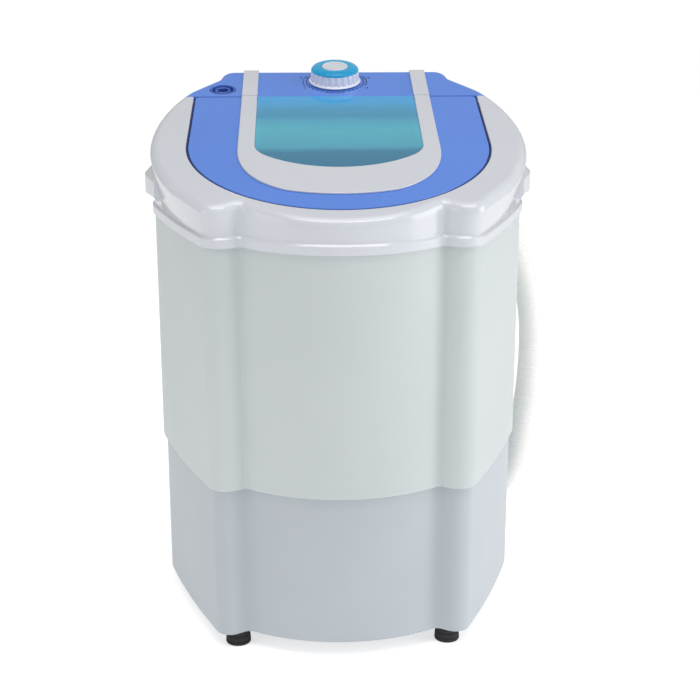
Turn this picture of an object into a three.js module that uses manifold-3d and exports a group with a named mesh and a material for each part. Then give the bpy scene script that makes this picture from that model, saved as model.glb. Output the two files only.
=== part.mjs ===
// Portable single-tub washing machine, top loading, with a belt-driven pulsator.
// Millimetres, +Z up, the front faces -Y, the origin is on the floor under the middle.
import * as THREE from 'three';
import { mergeVertices } from 'three/addons/utils/BufferGeometryUtils.js';
import Module from 'manifold-3d';

const wasm = await Module();
wasm.setup();

// ---------------------------------------------------------------- driving dimensions
const gap = 0.3; // between pieces that touch

// plan outline of the body: a front bulge between two notches, corner posts, pointed sides
const halfWidth = 180;
const frontReach = 181;
const backReach = 181;
const notchInset = 90; // from the widest point in to the front notch
const notchSetback = 39; // from the foremost point back to the notch
const postInset = 64;
const postSetback = 22.5;
const notchRadius = 7;
const postRadius = 18;
const sideRadius = 65;
const sideLine = 27; // how far behind the middle the sides are widest
const deckSideLine = 2; // the same at the deck, whose sides are round
const rearSwell = 3; // how far the deck's outline swells out before the rear notch
const bodyRoundness = 0.2; // share of the deck's round sides in the body's
const rearNotchInset = 58;
const rearNotchSetback = 22;
const rearCornerInset = 62.5;
const rearNotchRadius = 12;
const rearCornerRadius = 15;
const bulgeDraft = 1 / 30; // the front bulge gets flatter towards the floor

// heights
const footHeight = 15;
const seamZ = 164; // joint between the base and the tub
const rimZ = 404; // top of the band where the cover grips the tub
const rimBand = 10;
const rimProud = 2.3;
const deckRise = 21; // from the rim to the deck at the front
const deckSlope = THREE.MathUtils.degToRad(13.5);
const deckRadius = 8;

// grips on the cover's sides
const gripLength = 104;
const gripHeight = 32;
const gripLift = 22; // from the rim to the middle of the grip

const wall = 2.6;
const baseStep = 3.5; // the base stands in from the tub
const tubFloor = 3;
const tubFloorZ = 172; // underside of the tub's floor

// the well under the pulsator
const wellRadius = 84;
const wellDepth = 8;

// lid, in the plane of the deck
const lidSideMargin = 37;
const lidFrontMargin = 23;
const lidSideGap = 3;
const lidFrontGap = 1.5;
const lidThickness = 6;
const seamY = 105.5; // where the lid meets the control panel
const hingeSetback = 9.2; // hinge axis, from the lid's rear edge
const hingeDepth = 3; // hinge axis, below the deck
const seamGap = 1.2;
const pinRadius = 1.5;
const frameInset = 47;
const frameWidth = 16;
const frameFront = 30; // lid's front edge to the frame's
const frameFrontWidth = 58;
const frameRise = 1.8;
const windowThickness = 2.5;
const ledge = 8;

const panelDepth = 12; // height of the control panel's skirt
const trayThickness = 2.5;
const bulkheadY = 109.5;

// knob and timer
const knobY = 147;
const knobRadius = 25.5;
const knobFlange = knobRadius + 1.5;
const knobSkirt = 12.8;
const knobHeight = 17.6;
const capRadius = 13.6;
const timerSize = 42;
const timerDepth = 32;
const timerShaftRadius = 3;

const inletY = 126;
const inletOutset = 20.25; // from the strip's outer edge
const inletRadius = 13;
const inletBore = 6;

// drive train
const shaftRadius = 6;
const beltZ = 124;
const beltHeight = 8;
const beltThickness = 5.6;
const drivePulleyFloor = 50;
const motorPulleyFloor = 9;
const pulleyFlange = 2.2;
const pulleySides = 28;
const motorX = -72;
const motorY = 72;
const motorRadius = 45;
const motorHeight = 74;
const motorShaftRadius = 4;
const pulsatorRadius = wellRadius - 6;
const finHeight = 19;

const footX = halfWidth - 79;
const footY = frontReach - 53;
const footRadius = 12;

// drain hose: outer diameter, and its route from the outlet to the nozzle
const hoseDiameter = 25;
const hosePoints = [
  [-35, 200, 48], [-10, 200, 47.2], [14, 200, 42.5], [38, 200, 32.5], [60, 200, 22], [78, 199.5, 15.8],
  [98, 197.5, 13.2], [120, 189, 14], [143, 173.5, 18.6], [163, 154.5, 29], [179, 137.5, 46.5],
  [190, 122.5, 70], [197, 111, 98], [202, 103, 137], [206, 96.5, 180], [207.5, 93, 222],
  [206, 92, 262], [199, 93.5, 302], [189, 97.5, 335], [180, 102.5, 362], [174, 106, 386],
].map((point) => new THREE.Vector3(...point));
const nozzleLength = 45;
const nozzleNeck = 8;
const hookHeight = 29; // along the nozzle
const flare = 4.4; // how far the cover leans out beyond the body at the hook
const outletX = -60;
const outletZ = 48;

// ---------------------------------------------------------------- finishes
const finish = (color, roughness, metalness = 0, extra = {}) => ({ color, roughness, metalness, ...extra });
const white = finish(0xd9dce0, 0.3);
const natural = finish(0xc9d1cf, 0.45, 0, { transparent: true, opacity: 0.9 });
const baseWhite = finish(0xc3cad3, 0.4);
const blue = finish(0x5d86e0, 0.3);
const teal = finish(0x64aac3, 0.12, 0, { transparent: true, opacity: 0.6 });
const cyan = finish(0x2fa6d6, 0.15, 0, { transparent: true, opacity: 0.8 });
const silver = finish(0xd8d6d8, 0.3, 0.5);
const pale = finish(0xe6e4ee, 0.35);
const steel = finish(0xb4b8bc, 0.3, 1);
const zinc = finish(0x9aa0a4, 0.45, 0.9);
const black = finish(0x26282a, 0.8);
const hoseCream = finish(0xf0efe8, 0.5);

// ---------------------------------------------------------------- helpers
const machine = new THREE.Group();

function solid(geometry) {
  const bare = geometry.clone();
  bare.deleteAttribute('normal');
  bare.deleteAttribute('uv');
  const merged = mergeVertices(bare, 1e-4);
  return new wasm.Manifold(new wasm.Mesh({
    numProp: 3,
    vertProperties: Float32Array.from(merged.attributes.position.array),
    triVerts: Uint32Array.from(merged.index.array),
  }));
}

function geometryOf(shape) {
  const { vertProperties, triVerts } = shape.getMesh();
  const geometry = new THREE.BufferGeometry();
  geometry.setAttribute('position', new THREE.BufferAttribute(Float32Array.from(vertProperties), 3));
  geometry.setIndex(new THREE.BufferAttribute(Uint32Array.from(triVerts), 1));
  return geometry;
}

function add(name, shape, look) {
  const geometry = shape.isBufferGeometry ? shape : geometryOf(shape);
  geometry.computeVertexNormals();
  const mesh = new THREE.Mesh(geometry, new THREE.MeshStandardMaterial(look));
  mesh.name = name;
  machine.add(mesh);
  return mesh;
}

// cylinder, optionally with a bore, standing on low
function round(radius, low, high, x = 0, y = 0, bore = 0, sides = 14) {
  const profile = bore
    ? [[bore, low], [radius, low], [radius, high], [bore, high], [bore, low]]
    : [[0, low], [radius, low], [radius, high], [0, high]];
  return turned(profile, sides).translate(x, y, 0);
}

// solid of revolution about +Z from [radius, height] pairs
function turned(profile, sides = 18) {
  const points = profile.map(([r, z]) => new THREE.Vector2(r, z));
  return new THREE.LatheGeometry(points, sides).rotateX(Math.PI / 2);
}

function block(low, high) {
  const size = high.map((value, axis) => value - low[axis]);
  const middle = high.map((value, axis) => (value + low[axis]) / 2);
  return new THREE.BoxGeometry(...size).translate(...middle);
}

function prism(shape, low, high, curveSegments = 10) {
  const options = { depth: high - low, bevelEnabled: false, curveSegments };
  return new THREE.ExtrudeGeometry(shape, options).translate(0, 0, low);
}

// pipe along points, with its bore when one is given
function pipe(points, radius, bore = 0, steps = 7, sides = 8) {
  const ring = (r) => Array.from({ length: sides }, (_, i) => {
    const angle = (2 * Math.PI * i) / sides;
    return new THREE.Vector2(r * Math.cos(angle), r * Math.sin(angle));
  });
  const section = new THREE.Shape(ring(radius));
  if (bore) section.holes.push(new THREE.Path(ring(bore).reverse()));
  const path = new THREE.CatmullRomCurve3(points, false, 'centripetal');
  return new THREE.ExtrudeGeometry(section, { steps, extrudePath: path });
}

// closed skin through rings of equally many points, capped at both ends
function loft(rings) {
  const count = rings[0].length;
  const positions = rings.flat().flatMap((point) => [point.x, point.y, point.z]);
  const index = [];
  for (let level = 0; level < rings.length - 1; level += 1) {
    for (let i = 0; i < count; i += 1) {
      const a = level * count + i;
      const b = level * count + ((i + 1) % count);
      index.push(a, b, b + count, a, b + count, a + count);
    }
  }
  const flat = (ring) => ring.map((point) => new THREE.Vector2(point.x, point.y));
  const last = (rings.length - 1) * count;
  THREE.ShapeUtils.triangulateShape(flat(rings[0]), [])
    .forEach(([a, b, c]) => index.push(c, b, a));
  THREE.ShapeUtils.triangulateShape(flat(rings.at(-1)), [])
    .forEach(([a, b, c]) => index.push(a + last, b + last, c + last));
  const geometry = new THREE.BufferGeometry();
  geometry.setAttribute('position', new THREE.Float32BufferAttribute(positions, 3));
  geometry.setIndex(index);
  return geometry;
}

// arc of steps + 1 points that rounds a corner of a polyline
function rounded(before, corner, after, radius, steps) {
  const inward = before.clone().sub(corner).normalize();
  const outward = after.clone().sub(corner).normalize();
  const half = inward.angleTo(outward) / 2;
  const centre = inward.clone().add(outward).normalize().multiplyScalar(radius / Math.sin(half)).add(corner);
  const start = corner.clone().addScaledVector(inward, radius / Math.tan(half)).sub(centre);
  const end = corner.clone().addScaledVector(outward, radius / Math.tan(half)).sub(centre);
  const sweep = Math.atan2(start.cross(end), start.dot(end));
  return Array.from({ length: steps + 1 }, (_, i) => {
    return start.clone().rotateAround(new THREE.Vector2(), (sweep * i) / steps).add(centre);
  });
}

// points spread evenly along a polyline, without its ends
function spread(points, steps) {
  const lengths = [0];
  points.slice(1).forEach((point, i) => lengths.push(lengths[i] + point.distanceTo(points[i])));
  return Array.from({ length: steps - 1 }, (_, i) => {
    const at = (lengths.at(-1) * (i + 1)) / steps;
    const k = lengths.findIndex((length) => length >= at);
    return points[k - 1].clone().lerp(points[k], (at - lengths[k - 1]) / (lengths[k] - lengths[k - 1]));
  });
}

// ---------------------------------------------------------------- plan outline
// two arcs from the front post over the widest point to the rear notch
function sideArcs(post, rearNotch) {
  const arc = (end, count) => {
    const across = halfWidth - end.x;
    const along = end.y - deckSideLine;
    const radius = (across ** 2 + along ** 2) / (2 * across);
    return Array.from({ length: count }, (_, i) => {
      const y = (along * (i + 1)) / (count + 1);
      const t = (i + 1) / (count + 1);
      const swell = along > 0 ? (rearSwell * t ** 4 * (1 - t)) / 0.08192 : 0;
      return new THREE.Vector2(halfWidth - radius + Math.sqrt(radius ** 2 - y ** 2) + swell, deckSideLine + y);
    });
  };
  return [...arc(post, 6).reverse(), new THREE.Vector2(halfWidth, deckSideLine), ...arc(rearNotch, 6)];
}

// bulge is how far the front stands out of its notches, and roundness how far the sides swell to arcs
function planOutline(bulge, roundness = bodyRoundness) {
  const notch = new THREE.Vector2(halfWidth - notchInset, notchSetback - frontReach);
  const post = new THREE.Vector2(halfWidth - postInset, postSetback - frontReach);
  const side = new THREE.Vector2(halfWidth + 6, sideLine);
  const rearNotch = new THREE.Vector2(halfWidth - rearNotchInset, backReach - rearNotchSetback);
  const rearCorner = new THREE.Vector2(halfWidth - rearCornerInset, backReach);
  const rearMiddle = new THREE.Vector2(0, backReach);
  const bulgeRadius = (notch.x ** 2 + bulge ** 2) / (2 * bulge);
  const bulgeSpan = Math.asin(notch.x / bulgeRadius);
  const front = Array.from({ length: 7 }, (_, i) => {
    const angle = (bulgeSpan * 0.92 * i) / 6;
    const y = notch.y - bulge + bulgeRadius * (1 - Math.cos(angle));
    return new THREE.Vector2(bulgeRadius * Math.sin(angle), y);
  });
  const straight = spread([post, ...rounded(post, side, rearNotch, sideRadius, 8), rearNotch], 16);
  const arced = spread([post, ...sideArcs(post, rearNotch), rearNotch], 16);
  const flank = straight.map((point, i) => point.lerp(arced[i], roundness));
  const frontCorner = rounded(notch, post, flank[1], postRadius, 5);
  const rearBend = rounded(flank.at(-2), rearNotch, rearCorner, rearNotchRadius, 3);
  const half = [
    ...front,
    ...rounded(front.at(-1), notch, post, Math.min(notchRadius, bulge / 6), 2),
    ...frontCorner,
    ...spread([frontCorner.at(-1), ...flank.slice(2, -1), rearBend[0]], 12),
    ...rearBend,
    ...rounded(rearNotch, rearCorner, rearMiddle, rearCornerRadius, 3),
  ];
  const mirrored = half.slice(1).reverse().map((point) => new THREE.Vector2(-point.x, point.y));
  return [...half, ...mirrored];
}

// the outline moved inwards by inset, or outwards when it is negative
function offset(outline, inset) {
  return outline.map((point, i) => {
    const before = outline[(i + outline.length - 1) % outline.length];
    const after = outline[(i + 1) % outline.length];
    const one = point.clone().sub(before).normalize();
    const two = after.clone().sub(point).normalize();
    const left = new THREE.Vector2(-one.y - two.y, one.x + two.x);
    return point.clone().addScaledVector(left, inset / (1 + one.dot(two)));
  });
}

const bulgeAt = (z) => notchSetback - Math.max(0, rimZ - z) * bulgeDraft;
const ring = (inset, z) => {
  return offset(planOutline(bulgeAt(z)), inset).map((point) => new THREE.Vector3(point.x, point.y, z));
};
const walls = (inset, low, high) => loft([ring(inset, low), ring(inset, high)]);

// ---------------------------------------------------------------- deck plane
const deckAt = (y) => rimZ + deckRise + (y + frontReach) * Math.tan(deckSlope);
const alongDeck = (y) => y / Math.cos(deckSlope);
const deckMatrix = new THREE.Matrix4().makeRotationX(deckSlope).setPosition(0, 0, deckAt(0));
const onDeck = (geometry) => geometry.applyMatrix4(deckMatrix);

// outer skin of the cover, grown or shrunk, from the height given up to the deck
function coverSkin(grow, bottom) {
  const outline = planOutline(notchSetback, 1);
  const level = (z) => {
    return offset(planOutline(notchSetback), -grow).map((point) => new THREE.Vector3(point.x, point.y, z));
  };
  const edge = [0, 45, 90].map((degrees) => {
    const angle = THREE.MathUtils.degToRad(degrees);
    const inset = deckRadius * (1 - Math.cos(angle));
    const drop = deckRadius * (1 - Math.sin(angle));
    return offset(outline, inset - grow).map((point) => {
      return new THREE.Vector3(point.x, point.y, deckAt(point.y) - drop + grow);
    });
  });
  return loft([level(bottom), level(rimZ + 1), ...edge]);
}

// ---------------------------------------------------------------- base
const baseInner = baseStep + wall;
const floorTopZ = footHeight + 4;
const outletHole = new THREE.Matrix4().makeRotationX(Math.PI / 2);

function baseShell() {
  const outer = walls(baseStep, footHeight, tubFloorZ - gap);
  const inner = walls(baseInner, footHeight - 1, tubFloorZ + 1);
  const hole = round(10.5, -backReach - 10, -backReach + 30).applyMatrix4(outletHole);
  return solid(outer)
    .subtract(solid(inner))
    .subtract(solid(hole.translate(outletX, 0, outletZ)));
}
add('base_shell', baseShell(), baseWhite);

const screwSpots = [[-60, -120], [60, -120], [-80, 130], [80, 130]];

function basePlate() {
  let plate = solid(walls(baseInner + gap, footHeight + 1, floorTopZ));
  for (const x of [-66, -22, 22, 66]) {
    plate = plate.subtract(solid(block([x - 14, -90, 0], [x + 14, -82, 30])));
    plate = plate.subtract(solid(block([x - 14, -70, 0], [x + 14, -62, 30])));
  }
  for (const [x, y] of screwSpots) plate = plate.subtract(solid(round(2.3, 0, 30, x, y)));
  return plate;
}
add('base_plate', basePlate(), zinc);

screwSpots.forEach(([x, y], i) => {
  const screw = turned([
    [0, footHeight - 1.7], [4, footHeight - 1.7], [4, footHeight + 1 - gap], [2, footHeight + 1 - gap],
    [2, floorTopZ + 8], [0, floorTopZ + 8],
  ], 8);
  add(`base_screw_${i + 1}`, screw.translate(x, y, 0), zinc);
});

for (const [side, sx] of [['left', -1], ['right', 1]]) {
  for (const [end, sy] of [['front', -1], ['rear', 1]]) {
    const foot = turned([
      [0, 0], [footRadius - 1, 0], [footRadius, 1.2], [footRadius - 1, footHeight + 1 - gap],
      [0, footHeight + 1 - gap],
    ], 16);
    add(`foot_${end}_${side}`, foot.translate(sx * footX, sy * footY, 0), black);
  }
}

// ---------------------------------------------------------------- motor
const bracketZ = floorTopZ + 10;
const motorZ = bracketZ + 2.5 + gap;
const beltLow = beltZ - beltHeight / 2;
const beltHigh = beltZ + beltHeight / 2;
const mountReach = motorRadius + 7;
const mountSpots = [90, 210, 330].map((degrees) => {
  const angle = THREE.MathUtils.degToRad(degrees);
  return [motorX + mountReach * Math.cos(angle), motorY + mountReach * Math.sin(angle)];
});

mountSpots.forEach(([x, y], i) => {
  const mount = turned([
    [0, floorTopZ + gap], [7, floorTopZ + gap], [5.5, (floorTopZ + bracketZ) / 2], [7, bracketZ - gap],
    [0, bracketZ - gap],
  ], 10);
  add(`motor_mount_${i + 1}`, mount.translate(x, y, 0), black);
});

function motorBracket() {
  let plate = solid(round(motorRadius - 4, bracketZ, bracketZ + 2.5, motorX, motorY));
  for (const [x, y] of mountSpots) {
    const arm = block([0, -9, bracketZ], [mountReach, 9, bracketZ + 2.5]);
    arm.rotateZ(Math.atan2(y - motorY, x - motorX)).translate(motorX, motorY, 0);
    plate = plate.add(solid(arm)).add(solid(round(9, bracketZ, bracketZ + 2.5, x, y)));
  }
  return plate;
}
add('motor_bracket', motorBracket(), zinc);

const motorTop = motorZ + motorHeight;
const motorShaftLow = motorTop - 24;
const motorCan = turned([
  [0, motorZ], [motorRadius - 8, motorZ], [motorRadius - 4, motorZ + 12], [motorRadius, motorZ + 13],
  [motorRadius, motorTop - 13], [motorRadius - 4, motorTop - 12], [motorRadius - 10, motorTop],
  [motorShaftRadius + gap, motorTop], [motorShaftRadius + gap, motorShaftLow - gap], [0, motorShaftLow - gap],
], 20);
add('motor_housing', motorCan.translate(motorX, motorY, 0), zinc);
add('motor_shaft', round(motorShaftRadius, motorShaftLow, beltHigh + 6, motorX, motorY, 0, 12), steel);

function pulley(floorRadius, bore, sides) {
  const flange = floorRadius + beltThickness + 2;
  const low = beltLow - gap;
  const high = beltHigh + gap;
  return turned([
    [bore, low - pulleyFlange], [flange, low - pulleyFlange], [flange, low], [floorRadius, low],
    [floorRadius, high], [flange, high], [flange, high + pulleyFlange], [bore, high + pulleyFlange],
    [bore, low - pulleyFlange],
  ], sides);
}
const motorPulley = pulley(motorPulleyFloor, motorShaftRadius + gap, 16);
add('motor_pulley', motorPulley.translate(motorX, motorY, 0), zinc);

const capacitor = block([35, 30, floorTopZ + gap], [90, 62, floorTopZ + 30]);
add('capacitor', capacitor, black);

// ---------------------------------------------------------------- belt and drive pulley
// both outer tangents and both arcs of a loop round the two pulleys
function beltLoop(extra) {
  const reach = Math.hypot(motorX, motorY);
  const big = drivePulleyFloor + gap + extra;
  const small = motorPulleyFloor + gap + extra;
  const lean = Math.acos((big - small) / reach);
  const heading = Math.atan2(motorY, motorX);
  const arc = (x, y, radius, from, to, steps) => Array.from({ length: steps + 1 }, (_, i) => {
    const angle = from + ((to - from) * i) / steps;
    return new THREE.Vector2(x + radius * Math.cos(angle), y + radius * Math.sin(angle));
  });
  const grown = 1 / Math.cos(Math.PI / pulleySides); // keeps the chords outside the pulley
  return [
    ...arc(0, 0, big * grown, heading + lean, heading - lean + 2 * Math.PI, 18),
    ...arc(motorX, motorY, small * grown, heading - lean, heading + lean, 12),
  ];
}
const beltShape = new THREE.Shape(beltLoop(beltThickness));
beltShape.holes.push(new THREE.Path(beltLoop(0)));
add('drive_belt', prism(beltShape, beltLow, beltHigh), black);

const webbed = [[28, 0], [-28, 0], [0, 28], [0, -28]].reduce(
  (disc, [x, y]) => disc.subtract(solid(round(9, 100, 150, x, y, 0, 10))),
  solid(pulley(drivePulleyFloor, shaftRadius + gap, pulleySides)),
);
add('drive_pulley', webbed, zinc);

const shaftLow = beltLow - gap - pulleyFlange - 9;
const nutHigh = beltLow - gap - pulleyFlange - gap;
const nutBore = solid(round(shaftRadius + gap, nutHigh - 7, nutHigh + 1));
add('pulley_nut', solid(round(10, nutHigh - 6, nutHigh, 0, 0, 0, 6)).subtract(nutBore), zinc);

// ---------------------------------------------------------------- tub
const wellLow = tubFloorZ + tubFloor - wellDepth; // inside floor of the well
const wellUnder = wellLow - tubFloor;
const sealRadius = 12;
const drainX = 40;
const drainY = 118;
const drainBore = 10;
const tubTopZ = rimZ - 3 - gap;

function washTub() {
  const levels = [seamZ, tubFloorZ, rimZ - rimBand, tubTopZ];
  const outer = loft(levels.map((z) => ring(0, z)));
  const below = walls(wall, seamZ - 1, tubFloorZ);
  const inside = loft([
    ring(wall + 8, tubFloorZ + tubFloor), ring(wall + 2.5, tubFloorZ + tubFloor + 2.5),
    ring(wall, tubFloorZ + tubFloor + 8), ring(wall, rimZ - rimBand), ring(wall, tubTopZ + 1),
  ]);
  return solid(outer)
    .subtract(solid(below))
    .subtract(solid(inside))
    .add(solid(round(wellRadius + wall, wellUnder, tubFloorZ + tubFloor, 0, 0, 0, 32)))
    .subtract(solid(round(wellRadius, wellLow, tubFloorZ + tubFloor + 1, 0, 0, 0, 32)))
    .subtract(solid(round(sealRadius, wellUnder - 1, wellLow + 1)))
    .subtract(solid(round(drainBore, tubFloorZ - 1, tubFloorZ + tubFloor + 1, drainX, drainY)));
}
add('wash_tub', washTub(), natural);

const sealRing = turned([
  [shaftRadius + gap, wellUnder], [sealRadius - gap, wellUnder], [sealRadius - gap, wellLow + 1],
  [shaftRadius + 2, wellLow + 1.6], [shaftRadius + gap, wellLow + 1.6], [shaftRadius + gap, wellUnder],
], 14);
add('shaft_seal', sealRing, black);

const housingTop = wellUnder - gap;
const barrelLow = beltHigh + gap + pulleyFlange + 4;
const bearingRadius = 16;
const bearingHeight = 10;
const housing = turned([
  [shaftRadius + 2, housingTop], [shaftRadius + 2, housingTop - 2.5], [bearingRadius + gap, housingTop - 2.5],
  [bearingRadius + gap, barrelLow], [bearingRadius + 4, barrelLow], [bearingRadius + 5, housingTop - 6],
  [44, housingTop - 3], [44, housingTop], [shaftRadius + 2, housingTop],
]);
add('bearing_housing', housing, zinc);
const upperBearing = housingTop - 2.5 - gap;
for (const [name, high] of [['upper_bearing', upperBearing], ['lower_bearing', barrelLow + bearingHeight]]) {
  add(name, round(bearingRadius, high - bearingHeight, high, 0, 0, shaftRadius + gap), steel);
}

const discLow = wellLow + 2.5;
const discHigh = discLow + 5;
const shaftHigh = discHigh + 9;
add('drive_shaft', round(shaftRadius, shaftLow, shaftHigh, 0, 0, 0, 14), steel);

function pulsator() {
  const disc = turned([
    [shaftRadius + gap, discLow], [pulsatorRadius - 2, discLow], [pulsatorRadius, discLow + 2],
    [pulsatorRadius - 3, discHigh], [24, discHigh + 2.5], [17, discHigh + 12], [12, discHigh + 14],
    [3.3, discHigh + 14], [3.3, shaftHigh + gap], [shaftRadius + gap, shaftHigh + gap],
    [shaftRadius + gap, discLow],
  ], 24);
  const finProfile = new THREE.Shape([
    new THREE.Vector2(12, 0), new THREE.Vector2(pulsatorRadius - 6, 0),
    new THREE.Vector2(pulsatorRadius - 10, finHeight * 0.45), new THREE.Vector2(pulsatorRadius - 32, finHeight),
    new THREE.Vector2(28, finHeight * 0.8), new THREE.Vector2(12, 10),
  ]);
  let body = solid(disc);
  for (const turn of [0, 1, 2, 3]) {
    const fin = prism(finProfile, -3.5, 3.5).rotateX(Math.PI / 2).rotateZ((turn * Math.PI) / 2);
    body = body.add(solid(fin.translate(0, 0, discHigh - 2)));
  }
  return body;
}
add('pulsator', pulsator(), white);
const pulsatorScrew = turned([
  [0, shaftHigh + 1], [3, shaftHigh + 1], [3, discHigh + 14 + gap], [6, discHigh + 14 + gap],
  [5, discHigh + 17], [0, discHigh + 17.5],
], 12);
add('pulsator_screw', pulsatorScrew, steel);

function drainGrille() {
  const low = tubFloorZ + tubFloor + gap;
  let cap = solid(round(drainBore + 4, low, low + 2, drainX, drainY));
  for (const step of [-2, -1, 0, 1, 2]) {
    const x = drainX + step * 4;
    cap = cap.subtract(solid(block([x - 1, drainY - 7, low - 1], [x + 1, drainY + 7, low + 4])));
  }
  return cap;
}
add('drain_grille', drainGrille(), white);

// lint filter that hangs inside the rear wall, with a grooved face
function lintFilter() {
  const y = backReach - wall - gap;
  const low = tubFloorZ + tubFloor + 60;
  const high = rimZ - 44;
  let box = solid(block([-42, y - 9, low], [42, y, high]));
  for (let z = low + 15; z < high - 10; z += 14) {
    box = box.subtract(solid(block([-32, y - 12, z], [32, y - 6, z + 5])));
  }
  return box;
}
add('lint_filter', lintFilter(), white);

// ---------------------------------------------------------------- drain
const drainPath = [
  [drainX, drainY, tubFloorZ - gap], [drainX, drainY, 130], [drainX - 6, drainY + 8, 84],
  [drainX - 40, 148, 54], [outletX + 20, 156, outletZ], [outletX, 168, outletZ], [outletX, 176, outletZ],
].map((point) => new THREE.Vector3(...point));
add('drain_pipe', pipe(drainPath, 9, 7, 12), black);

const outletPath = [
  [outletX, 176 + gap, outletZ], [outletX, 189, outletZ], [outletX + 2.5, 196, outletZ],
  [outletX + 9, 199.6, outletZ], [outletX + 25 - 3 * gap, 200, outletZ],
].map((point) => new THREE.Vector3(...point));
const outletFlange = round(15, backReach - baseStep + gap, backReach + 1, 0, 0, 0, 16);
outletFlange.rotateX(-Math.PI / 2).translate(outletX, 0, outletZ);
const outletTube = solid(pipe(outletPath, 9, 0, 7, 10)).add(solid(outletFlange));
add('drain_outlet', outletTube.subtract(solid(pipe(outletPath, 6.8, 0, 7, 8))), black);

const hosePath = new THREE.CatmullRomCurve3(hosePoints, false, 'centripetal');
const hoseRing = Array.from({ length: 8 }, (_, i) => {
  const angle = (2 * Math.PI * i) / 8;
  return new THREE.Vector2(Math.cos(angle), Math.sin(angle)).multiplyScalar(hoseDiameter / 2);
});
const hoseOptions = { steps: 30, extrudePath: hosePath };
add('drain_hose', new THREE.ExtrudeGeometry(new THREE.Shape(hoseRing), hoseOptions), hoseCream);

// everything on the nozzle's axis is made upright and then leaned onto it
const hoseEnd = hosePath.getPointAt(1);
const lean = new THREE.Quaternion().setFromUnitVectors(new THREE.Vector3(0, 0, 1), hosePath.getTangentAt(1));
const onNozzle = (geometry) => geometry.applyQuaternion(lean).translate(hoseEnd.x, hoseEnd.y, hoseEnd.z);
const nozzle = turned([
  [5.5, gap], [13, gap], [13, 12], [nozzleNeck, 16], [nozzleNeck, nozzleLength - 8],
  [nozzleNeck - 1.5, nozzleLength], [5.5, nozzleLength], [5.5, gap],
], 14);
add('hose_nozzle', onNozzle(nozzle), white);

function hoseHook() {
  const ringHalf = 5;
  const clip = round(nozzleNeck + 3.4, hookHeight - ringHalf, hookHeight + ringHalf, 0, 0, nozzleNeck + gap);
  const centre = hosePath.getTangentAt(1).multiplyScalar(hookHeight).add(hoseEnd);
  const side = new THREE.Vector2(halfWidth + 6, sideLine);
  const rear = new THREE.Vector2(halfWidth - rearNotchInset, backReach - rearNotchSetback);
  const along = rear.clone().sub(side).normalize();
  const outward = new THREE.Vector2(along.y, -along.x);
  const reach = new THREE.Vector2(centre.x, centre.y).sub(side).dot(outward);
  const plate = block([-reach + flare, -13, -6], [-reach + flare + 2.5, 13, 6]);
  const arm = block([-reach + flare + 1, -4, -4], [-nozzleNeck - 1.5, 4, 4]);
  const stand = (geometry) => geometry.rotateZ(Math.atan2(outward.y, outward.x)).translate(...centre);
  return solid(onNozzle(clip)).add(solid(stand(plate))).add(solid(stand(arm)));
}
add('hose_hook', hoseHook(), white);

// inlet gland of the mains lead, in the rear of the base
const gland = turned([[3.4, 0], [10, 0], [10, 2.6], [7, 3.2], [6, 5.4], [3.4, 5.4], [3.4, 0]], 14);
gland.rotateX(-Math.PI / 2).translate(70, backReach - baseStep + gap, 60);
add('cord_gland', gland, black);

// ---------------------------------------------------------------- lid outlines, in the plane of the deck
const seamV = alongDeck(seamY);
const lidRear = seamV - seamGap / 2;
const lidHalf = halfWidth - lidSideMargin;
const lidFront = -alongDeck(frontReach - lidFrontMargin);
const openingHalf = lidHalf + lidSideGap;
const openingFront = lidFront - lidFrontGap;
const pinEnd = openingHalf + 2;

// straight sides and a round front
function lidOutline(half, front, rear, corner) {
  const middle = front + half / Math.cos(deckSlope);
  const shape = new THREE.Shape();
  shape.moveTo(half - corner, rear);
  shape.quadraticCurveTo(half, rear, half, rear - corner);
  shape.lineTo(half, middle);
  shape.absellipse(0, middle, half, middle - front, 0, -Math.PI, true);
  shape.lineTo(-half, rear - corner);
  shape.quadraticCurveTo(-half, rear, corner - half, rear);
  return shape;
}

// straight sides, a shallow front arc and wide corners
function yokeOutline(half, front, rear, arcRadius, cornerSide, cornerFront) {
  const arc = (x) => front + arcRadius - Math.sqrt(arcRadius ** 2 - x ** 2);
  const inner = half - cornerFront;
  const shape = new THREE.Shape();
  shape.moveTo(half, rear);
  shape.lineTo(half, arc(half) + cornerSide);
  shape.quadraticCurveTo(half, arc(half), inner, arc(inner));
  for (let i = 1; i < 12; i += 1) {
    const x = inner - (inner * i) / 6;
    shape.lineTo(x, arc(x));
  }
  shape.lineTo(-inner, arc(inner));
  shape.quadraticCurveTo(-half, arc(half), -half, arc(half) + cornerSide);
  shape.lineTo(-half, rear);
  return shape;
}

const frameHalf = lidHalf - frameInset;
const frameEdge = lidFront + frameFront;
const windowHalf = frameHalf - frameWidth;
const windowEdge = frameEdge + frameFrontWidth;
const yoke = (grow, rear) => yokeOutline(frameHalf + grow, frameEdge - grow, rear, frameHalf + 54, 68, 46);
const pane = (grow, rear) => yokeOutline(windowHalf + grow, windowEdge - grow, rear, windowHalf + 20, 15, 10);
const deckSolid = (shape, low, high, segments) => solid(onDeck(prism(shape, low, high, segments)));

// ---------------------------------------------------------------- top cover
const beyond = 260; // past the body on every side
const bulkheadWall = 2.5;

function deckBlock(low, high) {
  return solid(onDeck(block(low, high)));
}

// grip on one side: a rounded bar that grows out of the skirt
function grip(side) {
  const bar = new THREE.SphereGeometry(1, 16, 8).scale(15, gripLength / 2, gripHeight / 2);
  return solid(bar.translate(side * (halfWidth - 7), (sideLine + deckSideLine) / 2, rimZ + gripLift));
}

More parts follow.
